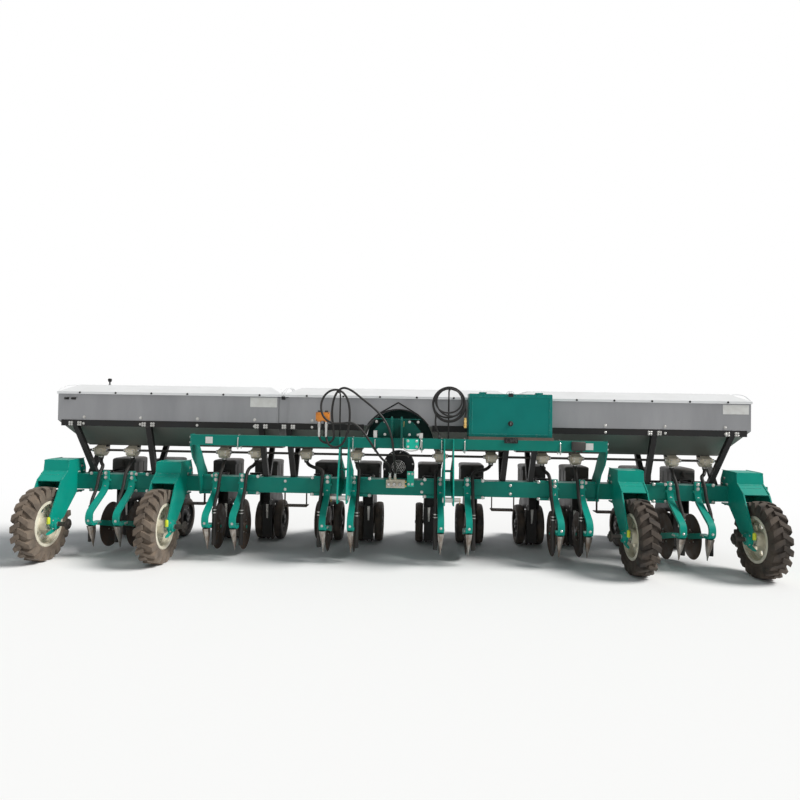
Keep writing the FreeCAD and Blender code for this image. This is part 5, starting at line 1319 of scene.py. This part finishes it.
class SEEDER_OT_hydraulics(bpy.types.Operator):
    """Adds hose ferrules, port nuts, coils, coupler collars and the orange holder"""

    bl_idname = "seeder.hydraulics"
    bl_label = "Hydraulic fittings"

    def execute(self, context):
        bright, dark, warm, brassy = [], [], [], []
        for x in (-0.070, -0.020):
            bright += [turned([(0.0, 0.0165), (0.014, 0.0165), (0.016, 0.014)], 6,
                              (x, -0.375, 0.805), axis=2),
                       turned([(0.0, 0.0128), (0.004, 0.0134), (0.028, 0.0134), (0.032, 0.0115)],
                              20, (x, -0.375, 0.819), axis=2)]
        for x, y in ((-0.650, -0.690), (-0.715, -0.690)):
            bright += [turned([(0.0, 0.0160), (-0.012, 0.0160), (-0.014, 0.0135)], 6,
                              (x, y, 1.242), axis=2),
                       turned([(0.0, 0.0133), (-0.030, 0.0133), (-0.034, 0.0112)], 20,
                              (x, y, 1.230), axis=2)]
            bright += [hoop((x, y, 1.2885 + step * 0.005), 0.0162, 0.0014, 20, 2)
                       for step in range(6)]
            dark.append(turned([(0.0, 0.0155), (0.010, 0.0158), (0.016, 0.0150)], 20,
                               (x, y, 1.4242), axis=2))
        for x, z in ((-0.078, 0.742), (-0.025, 0.742), (0.030, 0.742)):
            bright += [turned([(0.0, 0.0175), (-0.010, 0.0175), (-0.012, 0.0150)], 6,
                              (x, -0.410, z), axis=1),
                       turned([(0.0, 0.0170), (-0.004, 0.0180), (-0.036, 0.0180),
                               (-0.040, 0.0150)], 24, (x, -0.4215, z), axis=1),
                       turned([(0.0, 0.0090), (-0.008, 0.0090), (-0.010, 0.0070)], 6,
                              (x, -0.4650, z), axis=1)]
        for x, high_z in ((-0.200, 1.262), (0.224, 1.245)):
            socket_box = rounded(-0.638, -0.598, x - 0.019, x + 0.019, 0.005)
            bright.append(plate(socket_box[:, ::-1], UPPER_HIGH[2] - 0.001, high_z, 0.003))
        tube = [(0.224, -0.6585, 1.205), (0.224, -0.664, 1.150), (0.214, -0.664, 1.098),
                (0.150, -0.664, 1.078), (0.085, -0.664, 1.082), (0.060, -0.664, 1.110),
                (0.058, -0.664, 1.150), (0.058, -0.6585, 1.196)]
        bright.append(rod(smooth_path(tube, 44, 3), 0.0055, 8, (0, 1, 0)))
        for z in (0.722, 0.762):
            brassy.append(turned([(0.0, 0.0125), (0.014, 0.0125), (0.016, 0.0100)], 6,
                                 (0.075, -0.370, z), axis=0))
        bright += [bolts(1, -1, 0.0075, [(x, -0.410, 0.713) for x in (-0.052, 0.002, 0.058)]),
                   bolts(1, -1, 0.0095,
                         [(0.112, -0.338, 0.835), (0.148, -0.338, 0.835), (0.112, -0.338, 0.735),
                          (0.148, -0.338, 0.735), (0.105, -0.6605, 1.172), (0.185, -0.6605, 1.172),
                          (0.105, -0.6605, 1.118), (0.185, -0.6605, 1.118)])]
        low_x, high_x, low_z, high_z = -0.7455, -0.6185, 1.3425, 1.4255
        shell = rounded(-0.7135, -0.6665, low_z, high_z, 0.008)
        warm.append(plate(shell, low_x, high_x, 0.003, axis=0))
        flap = rounded(low_z + 0.012, high_z - 0.030, low_x + 0.012, high_x - 0.012, 0.008)
        warm.append(plate(flap, -0.7185, -0.7125, 0.002, axis=1))
        for x in (-0.650, -0.715):
            warm.append(turned([(0.0, 0.0180), (-0.006, 0.0180), (-0.008, 0.0165)], 20,
                               (x, -0.690, 1.344), axis=2))
        dark.append(rivets(1, -1, 0.005,
                           [(x, -0.7132, z) for x in (low_x + 0.010, high_x - 0.010)
                            for z in (1.352, 1.416)]))
        brassy.append(turned([(0.0, 0.0150), (0.006, 0.0162), (0.030, 0.0162), (0.036, 0.0150)],
                             20, (0.626, -0.690, 1.302), axis=2))
        brassy += [hoop((0.626, -0.690, 1.309 + step * 0.005), 0.0164, 0.0012, 20, 2)
                   for step in range(5)]
        dark += [turned([(0.0, 0.0085), (0.006, 0.0125), (0.018, 0.0125), (0.020, 0.0130)], 18,
                        (0.626, -0.690, 1.374), axis=2),
                 turned([(0.0, 0.0128), (0.008, 0.0128), (0.024, 0.0072)], 18,
                        (0.392, -0.640, 1.206), axis=2)]
        piece("hose_fittings", bright, "bare_steel")
        piece("coils_and_caps", dark, "dark_rubber", "dark_plastic")
        piece("coupler_holder_shell", warm, "bright_paint", "orange_plastic")
        piece("brass_fittings", brassy, "bare_steel", "brass")
        return {"FINISHED"}


# Fertiliser side

SHAFT_Y, SHAFT_Z = -0.155, 1.0
DISC_Y, DISC_Z = -0.225, 0.265
BOOT_Y = -0.523


def boot_places():
    """Place of each boot beside its shank, on the side of its metering housing."""
    gap = METERS - OPENERS
    side = np.where(np.abs(gap) > 0.001, np.sign(gap), -np.sign(OPENERS))
    return OPENERS + side * 0.048


def rippled(line, radius, pitch, depth):
    """Hose with rings: radius = mean + depth * cos(2 pi distance / pitch) along its line."""
    length = np.linalg.norm(np.diff(line, axis=0), axis=1).sum()
    steps = int(length / pitch * 4) + 1
    path = resampled(line, steps)
    along = np.linspace(0, length, steps)
    widths = 1 + depth / radius * np.cos(2 * np.pi * along / pitch)
    return rod(path, radius, 12, (1, 0, 0), widths=widths)


class SEEDER_OT_meters(bpy.types.Operator):
    """Adds collars, covers, screws and shaft collars to the metering housings"""

    bl_idname = "seeder.meters"
    bl_label = "Metering details"

    def execute(self, context):
        low, high = ends("fertiliser_meters")
        cast, bright, rubber, turning = [], [], [], []
        for x in METERS:
            cover = rounded(0.968, 1.012, x - 0.036, x + 0.036, 0.008)
            cast.append(plate(cover, low[1] - 0.007, low[1] + 0.001, 0.002, axis=1))
            bright.append(bolts(1, -1, 0.0055,
                                [(x + a, low[1] - 0.007, z) for a in (-0.028, 0.028)
                                 for z in (0.975, 1.005)]))
            lip = rounded(x - 0.049, x + 0.049, low[1] + 0.056, high[1] + 0.004, 0.010)
            rubber.append(plate(lip, 1.030, 1.0495, 0.003, axis=2))
            for way in (-1, 1):
                boss = [(0, 0.036), (0.006, 0.035), (0.008, 0.024), (0.018, 0.0225),
                        (0.018, 0.0128), (0, 0.0128)]
                cast.append(turned(boss, 24, (x + way * 0.0445, SHAFT_Y, SHAFT_Z), closed=True,
                                   way=way))
                bright.append(bolts(0, way, 0.0045,
                                    ring((x + way * 0.050, SHAFT_Y, SHAFT_Z), 0.030, 3,
                                         step=2.094)))
                collar = [(0.066, 0.0195), (0.078, 0.0195), (0.078, 0.0119), (0.066, 0.0119)]
                turning.append(turned(collar, 18, (x, SHAFT_Y, SHAFT_Z), closed=True, way=way))
            neck = [(0.0, 0.0235), (-0.006, 0.0245), (-0.020, 0.0235), (-0.036, 0.0205)]
            rubber.append(turned(neck, 20, (x, -0.135, 0.944), axis=2))
        piece("meter_covers", cast, "cast_alloy")
        piece("meter_screws", bright, "bare_steel")
        piece("meter_collars", rubber, "dark_rubber", "dark_seal")
        piece("shaft_collars", turning, "bare_steel", body="drive_shaft")
        return {"FINISHED"}


class SEEDER_OT_fertiliser_hoses(bpy.types.Operator):
    """Builds the ringed hoses from the metering housings to the boots"""

    bl_idname = "seeder.fertiliser_hoses"
    bl_label = "Fertiliser hoses"

    def execute(self, context):
        lines = sizes("seeder_lines")
        hoses, clips = [], []
        for start, end in zip(METERS, boot_places()):
            route = [(start, -0.135, 0.940), (start, -0.135, 0.910),
                     (0.7 * start + 0.3 * end, -0.205, 0.874), (end, -0.310, 0.855),
                     (end, -0.388, 0.785), (end, -0.422, 0.650), (end, BOOT_Y, 0.530),
                     (end, BOOT_Y, 0.470)]
            hoses += [rippled(line_of(route)[0], 0.0158, lines.ripple, 0.0015),
                      turned([(0.0, 0.0192), (0.001, 0.0204), (0.290, 0.0204)], 20,
                             (end, BOOT_Y, 0.1492), axis=2),
                      turned([(0.0, 0.0195), (0.004, 0.0222), (0.050, 0.0222), (0.060, 0.0185)],
                             20, (end, BOOT_Y, 0.436), axis=2)]
            for z in (0.448, 0.476):
                clips.append(turned([(0.0, 0.0225), (0.0, 0.0234), (0.009, 0.0234),
                                     (0.009, 0.0225)], 20, (end, BOOT_Y, z), axis=2, closed=True))
            clips.append(turned([(0.0, 0.0250), (0.0, 0.0258), (0.009, 0.0258),
                                 (0.009, 0.0250)], 20, (start, -0.135, 0.926), axis=2,
                                closed=True))
        hose = piece("ringed_hoses", hoses, "dark_rubber", crease=60)
        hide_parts("fertiliser_hoses")
        piece("hose_clips", clips, "bare_steel")
        return {"FINISHED"}


class SEEDER_OT_openers(bpy.types.Operator):
    """Adds the shank bolts and gussets, and builds the bevelled coulter discs"""

    bl_idname = "seeder.openers"
    bl_label = "Opener details"

    def execute(self, context):
        bright, painted = [], []
        face = BAR_LOW[1] - 0.025
        sides = np.sign(boot_places() - OPENERS)
        for x, side in zip(OPENERS, sides):
            bright += [bolts(1, -1, 0.0135,
                             [(x, face, 0.788), (x, face, 0.745), (x, face, 0.655)]),
                       bolts(0, -side, 0.0085,
                             [(x - side * 0.030, -0.530, 0.331),
                              (x - side * 0.030, -0.490, 0.331)]),
                       bolts(1, -1, 0.0095, [(x, -0.6535, 0.372)])]
            for way in (-1, 1):
                ear = rounded(face + 0.002, BAR_LOW[1] + 0.001, 0.708, 0.729, 0.003, 3)
                painted.append(copies(plate(ear, 0.0, 0.014, 0.0015, axis=0),
                                      [(x + (0.030 if way > 0 else -0.044), 0, 0)]))
            web = [(x, -0.353, 0.648), (x, -0.500, 0.545), (x, -0.624, 0.458)]
            painted.append(strip(np.array(web) + (0, -0.0075, -0.0085), 0.022, 0.006))
        depth = np.array([0.3175, 0.262, 0.205, 0.150, 0.110])
        wide = np.array([0.0290, 0.0240, 0.0165, 0.0085, 0.0020])
        nose = np.array([-0.6420, -0.6200, -0.5950, -0.5720, -0.5570])
        back = np.array([-0.5680, -0.5560, -0.5510, -0.5525, -0.5545])
        across = [wide, wide, 0.25 * wide, -0.25 * wide, -wide, -wide]
        along = [back, nose + 0.012, nose, nose, nose + 0.012, back]
        blade = np.stack([across, along, [depth] * 6], axis=-1).transpose(1, 0, 2)
        poles = np.repeat(blade.mean(axis=1, keepdims=True), 6, axis=1)
        blade = surface(np.concatenate([poles[:1], blade, poles[-1:]]), round_v=True)
        tips = piece("pointed_tips", [copies(blade, [(x, 0, 0) for x in OPENERS])], "bare_steel",
                     "worn_steel", crease=25)
        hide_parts("opener_tips")
        piece("shank_bolts", bright, "bare_steel")
        piece("shank_ribs", painted, "teal_paint")
        for side, part in BEDS.items():
            discs, metal = [], []
            for x in OPENERS[part]:
                blade = mirrored([(-0.0145, 0.0146), (-0.0155, 0.050), (-0.0125, 0.055),
                                  (-0.0045, 0.058), (-0.0032, 0.075), (-0.0030, 0.196),
                                  (-0.0004, 0.2198)])
                discs.append(turned(blade, 64, (x, DISC_Y, DISC_Z), closed=True))
                metal += [bolts(0, way, 0.0062,
                                ring((x + way * 0.0042, DISC_Y, DISC_Z), 0.066, 5, step=1.2566))
                          for way in (-1, 1)]
            disc = piece("bevelled_discs_" + side, discs, "dark_disc", body="coulters_" + side)
            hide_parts("coulter_discs_" + side)
            piece("disc_bolts_" + side, metal, "bare_steel", body="coulters_" + side)
        return {"FINISHED"}


# Seed rows, fan and steps

FAN_Z = 0.87


class SEEDER_OT_row_wheels(bpy.types.Operator):
    """Builds the ribbed gauge wheels and the closing wheels of the seed rows"""

    bl_idname = "seeder.row_wheels"
    bl_label = "Row wheels"

    def execute(self, context):
        for side, part in BEDS.items():
            low, high = ends("gauge_wheels_" + side)
            centre_y, radius = (low[1] + high[1]) / 2, (high[2] - low[2]) / 2
            rubber, hubs, metal = [], [], []
            for row in ROWS[part]:
                for way in (-1, 1):
                    x = row + way * 0.103
                    crown = [(-0.042, 0.150), (-0.042, 0.192), (-0.0385, 0.2035),
                             (-0.031, 0.2095), (-0.0285, 0.2070), (-0.0255, 0.2110),
                             (-0.0135, 0.2140), (-0.0105, 0.2115), (-0.0075, 0.2145),
                             (0.0, radius)]
                    rubber.append(turned(mirrored(crown, 1), 64, (x, centre_y, radius),
                                         closed=True))
                    dish = [(0.038, 0.1545), (0.034, 0.151), (0.018, 0.146), (0.012, 0.090),
                            (0.022, 0.062), (0.036, 0.052), (0.041, 0.046), (0.041, 0.0156),
                            (-0.041, 0.0156), (-0.041, 0.046), (-0.028, 0.052),
                            (0.004, 0.066), (0.004, 0.090), (0.009, 0.150), (0.012, 0.1545)]
                    hubs.append(turned(dish, 48, (x, centre_y, radius), closed=True, way=way))
                    metal.append(bolts(0, way, 0.0075,
                                       ring((x + way * 0.013, centre_y, radius), 0.105, 6)))
            rubber = piece("gauge_tyres_" + side, rubber, "dark_rubber", "wheel_rubber",
                           body="gauges_" + side)
            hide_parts("gauge_wheels_" + side)
            piece("gauge_hubs_" + side, hubs, "dark_plastic", "black_paint", body="gauges_" + side)
            piece("gauge_bolts_" + side, metal, "bare_steel", body="gauges_" + side)

            low, high = ends("press_wheels_" + side)
            centre_y, radius = (low[1] + high[1]) / 2, (high[2] - low[2]) / 2
            rubber, hubs = [], []
            for x in ROWS[part]:
                crown = [(-0.029, 0.110), (-0.030, 0.143), (-0.026, 0.151), (-0.017, 0.1575),
                         (-0.009, 0.1605), (-0.0055, 0.1585), (0.0, radius)]
                rubber.append(turned(mirrored(crown, 1), 56, (x, centre_y, radius), closed=True))
                dish = [(0.024, 0.1135), (0.020, 0.110), (0.006, 0.104), (0.005, 0.052),
                        (0.014, 0.040), (0.029, 0.034), (0.029, 0.0106)]
                hubs.append(turned(mirrored(dish), 40, (x, centre_y, radius), closed=True))
            rubber = piece("press_tyres_" + side, rubber, "dark_rubber", "wheel_rubber",
                           body="presses_" + side)
            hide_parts("press_wheels_" + side)
            piece("press_hubs_" + side, hubs, "dark_plastic", "black_paint",
                  body="presses_" + side)
        return {"FINISHED"}


class SEEDER_OT_rows(bpy.types.Operator):
    """Adds springs, pivot bolts, depth levers, front shields and scrapers to the seed rows"""

    bl_idname = "seeder.rows"
    bl_label = "Row frame details"

    def execute(self, context):
        springs, bright, black, shields = [], [], [], []
        for x in ROWS:
            for way in (-1, 1):
                springs.append(rod(coil_path((x + way * 0.030, -0.145, 0.665),
                                             (x + way * 0.030, 0.120, 0.715), 0.0135, 17, 9),
                                   0.0032, 5, (1.0, 0.15, 0.1)))
                places = [(x + way * 0.062, y, z) for y in (-0.150, 0.128)
                          for z in (0.755, 0.620)]
                bright.append(bolts(0, way, 0.0115, places))
                places = [(x + way * 0.055, y, z) for y, z in ((0.20, 0.575), (0.36, 0.575),
                                                               (0.24, 0.46))]
                bright += [bolts(0, way, 0.0095, places),
                           bolts(0, way, 0.011, [(x + way * 0.055, 0.865, 0.1625)])]
            lever = [(x, 0.548, 0.596), (x, 0.572, 0.655), (x, 0.610, 0.695)]
            black.append(strip(smooth_path(lever, 12, 2), 0.028, 0.006))
            grip = [(x - 0.032, 0.612, 0.697), (x + 0.032, 0.612, 0.697)]
            black.append(rod(grip, 0.008, 10))
            springs.append(rod(coil_path((x, 0.625, 0.545), (x, 0.745, 0.420), 0.014, 12, 9),
                               0.0030, 5, (1.0, 0.1, 0.15)))
            post = [(x - 0.046, 0.745, 0.424), (x + 0.046, 0.745, 0.424)]
            black.append(rod(post, 0.007, 8))
            post = [(x - 0.046, 0.625, 0.545), (x + 0.046, 0.625, 0.545)]
            black.append(rod(post, 0.007, 8))
            blade = [(x, 0.272, 0.415), (x, 0.276, 0.340), (x, 0.284, 0.262)]
            bright.append(strip(smooth_path(blade, 10, 2), 0.020, 0.005, 0.25,
                                widths=np.linspace(1.5, 0.8, 10)))
            face = rounded(0.055, 0.600, x - 0.052, x + 0.052, 0.008)
            shields.append(plate(face, 0.2885, 0.2925, 0.001, axis=1))
            for way in (-1, 1):
                side = rounded(0.2925, 0.345, 0.075, 0.420, 0.010)
                shields.append(plate(side, x + way * 0.0485, x + way * 0.052, 0.0005, axis=0))
            fold = [(x - 0.048, 0.286, 0.425), (x + 0.048, 0.286, 0.425)]
            shields.append(strip(fold, 0.016, 0.005, 0.3, (0, 1, 0)))
        piece("row_shields", shields, "black_paint")
        piece("row_springs", springs, "dark_disc")
        piece("row_bolts", bright, "bare_steel")
        piece("row_levers", black, "black_paint")
        return {"FINISHED"}


class SEEDER_OT_seed_boxes(bpy.types.Operator):
    """Builds the domed lids, straps and ribs of the seed boxes"""

    bl_idname = "seeder.seed_boxes"
    bl_label = "Seed box lids"

    def execute(self, context):
        low, high = ends("seed_boxes")
        lids, clips = [], []
        for x in ROWS:
            rim = rounded(x - 0.127, x + 0.127, low[1] - 0.007, high[1] + 0.007, 0.028, 6)
            lids.append(stacked(rim, [(high[2] - 0.022, 0.001), (high[2] + 0.004, 0.0),
                                      (high[2] + 0.012, 0.004), (high[2] + 0.020, 0.016),
                                      (high[2] + 0.025, 0.040), (high[2] + 0.028, 0.085)]))
            for y in np.linspace(low[1] + 0.07, high[1] - 0.07, 3):
                rib = [(x - 0.080, y, high[2] + 0.0255), (x + 0.080, y, high[2] + 0.0255)]
                lids.append(strip(rib, 0.014, 0.006, 0.4, (0, 1, 0)))
            for way in (-1, 1):
                for y in (low[1] + 0.09, high[1] - 0.09):
                    rib = [(x + way * 0.1205, y, 0.695), (x + way * 0.1205, y, high[2] - 0.024)]
                    lids.append(strip(rib, 0.016, 0.006, 0.4, (0, 1, 0)))
            for y, way in ((low[1] - 0.008, -1), (high[1] + 0.008, 1)):
                strap = [(x, y, high[2] + 0.002), (x, y + way * 0.006, high[2] - 0.022),
                         (x, y + way * 0.002, high[2] - 0.052),
                         (x, y - way * 0.004, high[2] - 0.060)]
                clips.append(strip(smooth_path(strap, 14, 2), 0.026, 0.004))
        piece("seed_box_lids", lids, "dark_plastic")
        piece("seed_box_clips", clips, "black_paint", "dark_seal")
        return {"FINISHED"}


class SEEDER_OT_fan(bpy.types.Operator):
    """Adds the fan's inlet grille, drum rims and bolts"""

    bl_idname = "seeder.fan"
    bl_label = "Fan details"

    def execute(self, context):
        black, bright = [], []
        for y in (0.029, 0.161):
            black.append(strip(ring((0, y, FAN_Z), 0.1605, 48, 1), 0.010, 0.008, 0.3, (0, 1, 0),
                               loop=True))
        for reach in (0.068, 0.052, 0.036, 0.020):
            bright.append(hoop((0, -0.0125, FAN_Z), reach, 0.0022, 24, 1))
        middle = (0, -0.0135, FAN_Z)
        for end in ring(middle, 0.069, 6, 1):
            bright.append(rod([middle, end], 0.0022, 5, (0, 1, 0)))
        for y, way in ((0.0245, -1), (0.1655, 1)):
            bright.append(bolts(1, way, 0.0065, ring((0, y, FAN_Z), 0.148, 10, 1, start=0.2)))
        motor = [(0.0, 0.050), (0.004, 0.052), (0.050, 0.052), (0.056, 0.046), (0.060, 0.030)]
        black.append(turned(motor, 28, (0, 0.165, FAN_Z), axis=1))
        for x in (-0.032, 0.032):
            black.append(turned([(0.0, 0.011), (0.014, 0.011), (0.016, 0.009)], 6,
                                (x, 0.224, FAN_Z), axis=1))
        piece("fan_shell", black, "black_paint")
        piece("fan_grille", bright, "bare_steel")
        return {"FINISHED"}


class SEEDER_OT_steps(bpy.types.Operator):
    """Adds the grip studs and edge rolls of the steps"""

    bl_idname = "seeder.steps"
    bl_label = "Step treads"

    def execute(self, context):
        front, rear = 0.175, 0.315
        studs, rolls, heads = [], [], []
        stud = turned([(0.0, 0.0095), (0.0035, 0.0085), (0.0035, 0.0055), (0.0, 0.0050)], 12,
                      (0, 0, 0), axis=2, closed=True)
        for x in STEP_PLACES:
            across, along = np.meshgrid(np.linspace(x - 0.095, x + 0.095, 8),
                                        np.linspace(front + 0.02, rear - 0.02, 5))
            places = np.stack([across.ravel(), along.ravel(), np.full(across.size, 0.4149)],
                              axis=1)
            studs.append(copies(stud, places))
            for y in (front, rear):
                edge = [(x - 0.120, y, 0.411), (x + 0.120, y, 0.411)]
                rolls.append(rod(edge, 0.0055, 8))
            for way in (-1, 1):
                heads.append(bolts(0, way, 0.009,
                                   [(x + way * 0.1200, 0.195, 0.68),
                                    (x + way * 0.1200, 0.195, 0.64)]))
        piece("step_studs", studs, "black_paint", "brown_step")
        piece("step_rolls", rolls, "black_paint", "brown_step")
        piece("step_bolts", heads, "bare_steel")
        return {"FINISHED"}


# Add-on

STEPS = (SEEDER_OT_finishes, SEEDER_OT_stage, SEEDER_OT_cords, SEEDER_OT_tyres, SEEDER_OT_rims,
         SEEDER_OT_forks, SEEDER_OT_hopper, SEEDER_OT_lids, SEEDER_OT_toolbox, SEEDER_OT_bars,
         SEEDER_OT_hydraulics, SEEDER_OT_meters, SEEDER_OT_fertiliser_hoses,
         SEEDER_OT_openers, SEEDER_OT_row_wheels, SEEDER_OT_rows, SEEDER_OT_seed_boxes,
         SEEDER_OT_fan, SEEDER_OT_steps)
GROUPS = {"seeder_paints": SeederPaints, "seeder_tread": SeederTread,
          "seeder_fixings": SeederFixings, "seeder_lines": SeederLines,
          "seeder_studio": SeederStudio}


class SEEDER_PT_panel(bpy.types.Panel):
    """Sizes, colours and steps of the seeder"""

    bl_idname = "SEEDER_PT_panel"
    bl_label = "Precision seeder"
    bl_space_type = "VIEW_3D"
    bl_region_type = "UI"
    bl_category = "Seeder"

    def draw(self, context):
        for name, group in GROUPS.items():
            box = self.layout.box()
            box.label(text=group.__doc__)
            for key in group.__annotations__:
                box.prop(getattr(context.scene, name), key)
        column = self.layout.column()
        for step in STEPS:
            column.operator(step.bl_idname)


def register():
    for made in (*GROUPS.values(), *STEPS, SEEDER_PT_panel):
        bpy.utils.register_class(made)
    for name, group in GROUPS.items():
        setattr(bpy.types.Scene, name, PointerProperty(type=group))


def unregister():
    for name in GROUPS:
        delattr(bpy.types.Scene, name)
    for made in (SEEDER_PT_panel, *reversed(STEPS), *reversed(GROUPS.values())):
        bpy.utils.unregister_class(made)


def main():
    """Builds the looks in order."""
    register()
    for step in STEPS:
        space, name = step.bl_idname.split(".")
        getattr(getattr(bpy.ops, space), name)()


if __name__ == "__main__":
    main()
